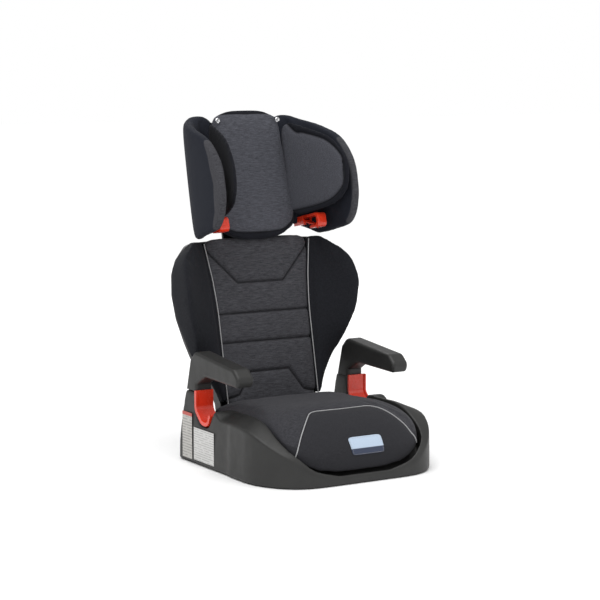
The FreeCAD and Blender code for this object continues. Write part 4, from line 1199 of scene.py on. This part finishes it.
    def cheeks(self) -> None:
        """The cheek pads: a light face in a dark padded border, with a valley between them."""
        pad = shaped_cube("headrest_cheek_left", 36, self.cheek_point, 6)
        valley = smooth_pairs([(-199, 517), (-197, 549), (-159, 589), (-99, 616), (-74, 623), (-46, 650)])
        lower = smooth_pairs([(-199, 517), (-197, 495), (-188, 479), (-158, 461), (-112, 453), (-24, 450)])

        def held(points: np.ndarray) -> np.ndarray:
            """The outer side and the valley are held."""
            local = LEAN.back(points)
            outside = local[:, 0] - np.interp(local[:, 1], *zip(*self.cheek_path))
            flat = local[:, [1, 2]]
            near = np.minimum(distance_to_line(flat, valley), distance_to_line(flat, lower))
            return np.clip(between(outside, 3, 7) + 0.95 * falloff(near, 4), 0, 1)

        Cloth.inflate(pad, 5.0, held)
        local = LEAN.back(coordinates(pad))
        flat = local[:, [1, 2]]
        near = np.minimum(distance_to_line(flat, valley), distance_to_line(flat, lower))
        high = np.interp(flat[:, 0], *zip(*sorted(valley)))
        low = np.interp(flat[:, 0], *zip(*sorted(lower)))
        within = (flat[:, 1] < high) & (flat[:, 1] > low) & (flat[:, 0] > -199)
        outside = local[:, 0] - np.interp(local[:, 1], *zip(*self.cheek_path))
        face = np.where(within, near, -near)
        note(pad, "panel", np.where(outside < 2, face, -3.0))
        sew(pad, flat, between(outside, 3, 0), [valley, lower], 2.4, 3.0)
        right = mirrored(pad, "headrest_cheek_right")
        finish_pad(pad, "headrest", HEAD_CLOTH, 0.7, "headrest_cheek_pad_left")
        finish_pad(right, "headrest", HEAD_CLOTH, 0.7, "headrest_cheek_pad_right")

    def fittings(self) -> None:
        """Finishes for the parts that keep their CAD shape."""
        nodes = frame["nodes"]
        for side in Side:
            RED.dress(nodes[f"shoulder_belt_guide_{side.word}"])
            RED.dress(nodes[f"belt_gate_{side.word}"])
            ZINC.dress(nodes[f"gate_pin_{side.word}"])
            NICKEL.dress(nodes[f"stud_{side.word}"])
        for name in ("headrest_shell", "headrest_slider", "height_lever"):
            BLACK.dress(nodes[name])
        for name in ("slider_screws", "lever_pin", "lever_spring"):
            ZINC.dress(nodes[name])

    def build(self) -> None:
        """Makes and dresses the whole headrest."""
        self.centre()
        self.wings()
        self.cheeks()
        self.fittings()


# ---------------------------------------------------------------- studio

def turned_to(direction: Vector) -> Euler:
    """The turn that points a lamp or a camera along a direction."""
    return direction.to_track_quat("-Z", "Y").to_euler()


@dataclass
class Studio3D:
    """Floor, light and camera. Places are in metres; a softbox has its name, place, side and watts."""
    eye: Point3 = (-2.097, -3.392, 0.860)
    target: Point3 = (-0.0737, -0.0665, 0.3667)
    lens: float = 114.0
    sensor: float = 36.0
    floor_side: float = 40.0
    lit: Point3 = (0.0, 0.0, 0.35)
    sky_for_surfaces: float = 0.45
    sky_for_camera: float = 1.0
    ceiling: Point3 = (-0.3, -0.35, 2.0)
    ceiling_angle: float = 60.0
    ceiling_strength: float = 1.9
    softboxes: Sequence[tuple[str, Point3, float, float]] = (
        ("key", (-2.2, -1.8, 2.8), 1.6, 20.0),
        ("fill", (2.6, -2.2, 1.6), 2.0, 14.0),
        ("rear", (0.9, 3.2, 2.0), 2.0, 30.0))

    def floor(self) -> None:
        """A wide pale floor."""
        deselect()
        bpy.ops.mesh.primitive_plane_add(size=self.floor_side)
        floor = bpy.context.object
        floor.name = "studio_floor"
        floor.data.materials.append(FLOOR.made())

    def lamp(self, name: str, place: Point3, size: float, power: float) -> None:
        """A square soft light that looks at the seat."""
        data = bpy.data.lights.new(name, "AREA")
        data.size, data.energy = size, power
        lamp = placed(name, data)
        lamp.location = place
        lamp.rotation_euler = turned_to(Vector(self.lit) - Vector(place))

    def sun(self, place: Point3, degrees: float, strength: float) -> None:
        """A broad overhead light, as from a large ceiling softbox."""
        data = bpy.data.lights.new("ceiling", "SUN")
        data.angle, data.energy = math.radians(degrees), strength
        placed("ceiling", data).rotation_euler = turned_to(-Vector(place))

    def build(self) -> None:
        """Sets the floor, the sky, the lamps and the camera."""
        self.floor()
        world = bpy.data.worlds.new("studio")
        bpy.context.scene.world = world
        world.use_nodes = True
        background = world.node_tree.nodes["Background"]
        background.inputs["Color"].default_value = (1.0, 1.0, 1.0, 1.0)
        seen = add(world, "LightPath")
        strength = add(world, "MapRange", {"Value": seen.outputs["Is Camera Ray"]},
                       To_Min=self.sky_for_surfaces, To_Max=self.sky_for_camera)
        world.node_tree.links.new(strength.outputs[0], background.inputs["Strength"])
        self.sun(self.ceiling, self.ceiling_angle, self.ceiling_strength)
        for name, place, size, power in self.softboxes:
            self.lamp(name, place, size, power)
        data = bpy.data.cameras.new("camera")
        data.lens, data.sensor_width = self.lens, self.sensor
        camera = placed("camera", data)
        camera.location = self.eye
        camera.rotation_euler = turned_to(Vector(self.target) - Vector(self.eye))
        bpy.context.scene.camera = camera
        bpy.context.scene.view_settings.view_transform = "Standard"


def main() -> None:
    """Builds every sub-assembly in order."""
    logging.basicConfig(level=logging.INFO, format="%(name)s: %(message)s")
    deselect()
    Studio3D().build()
    Base().build()
    Backrest().build()
    Headrest().build()


if __name__ == "__main__":
    main()
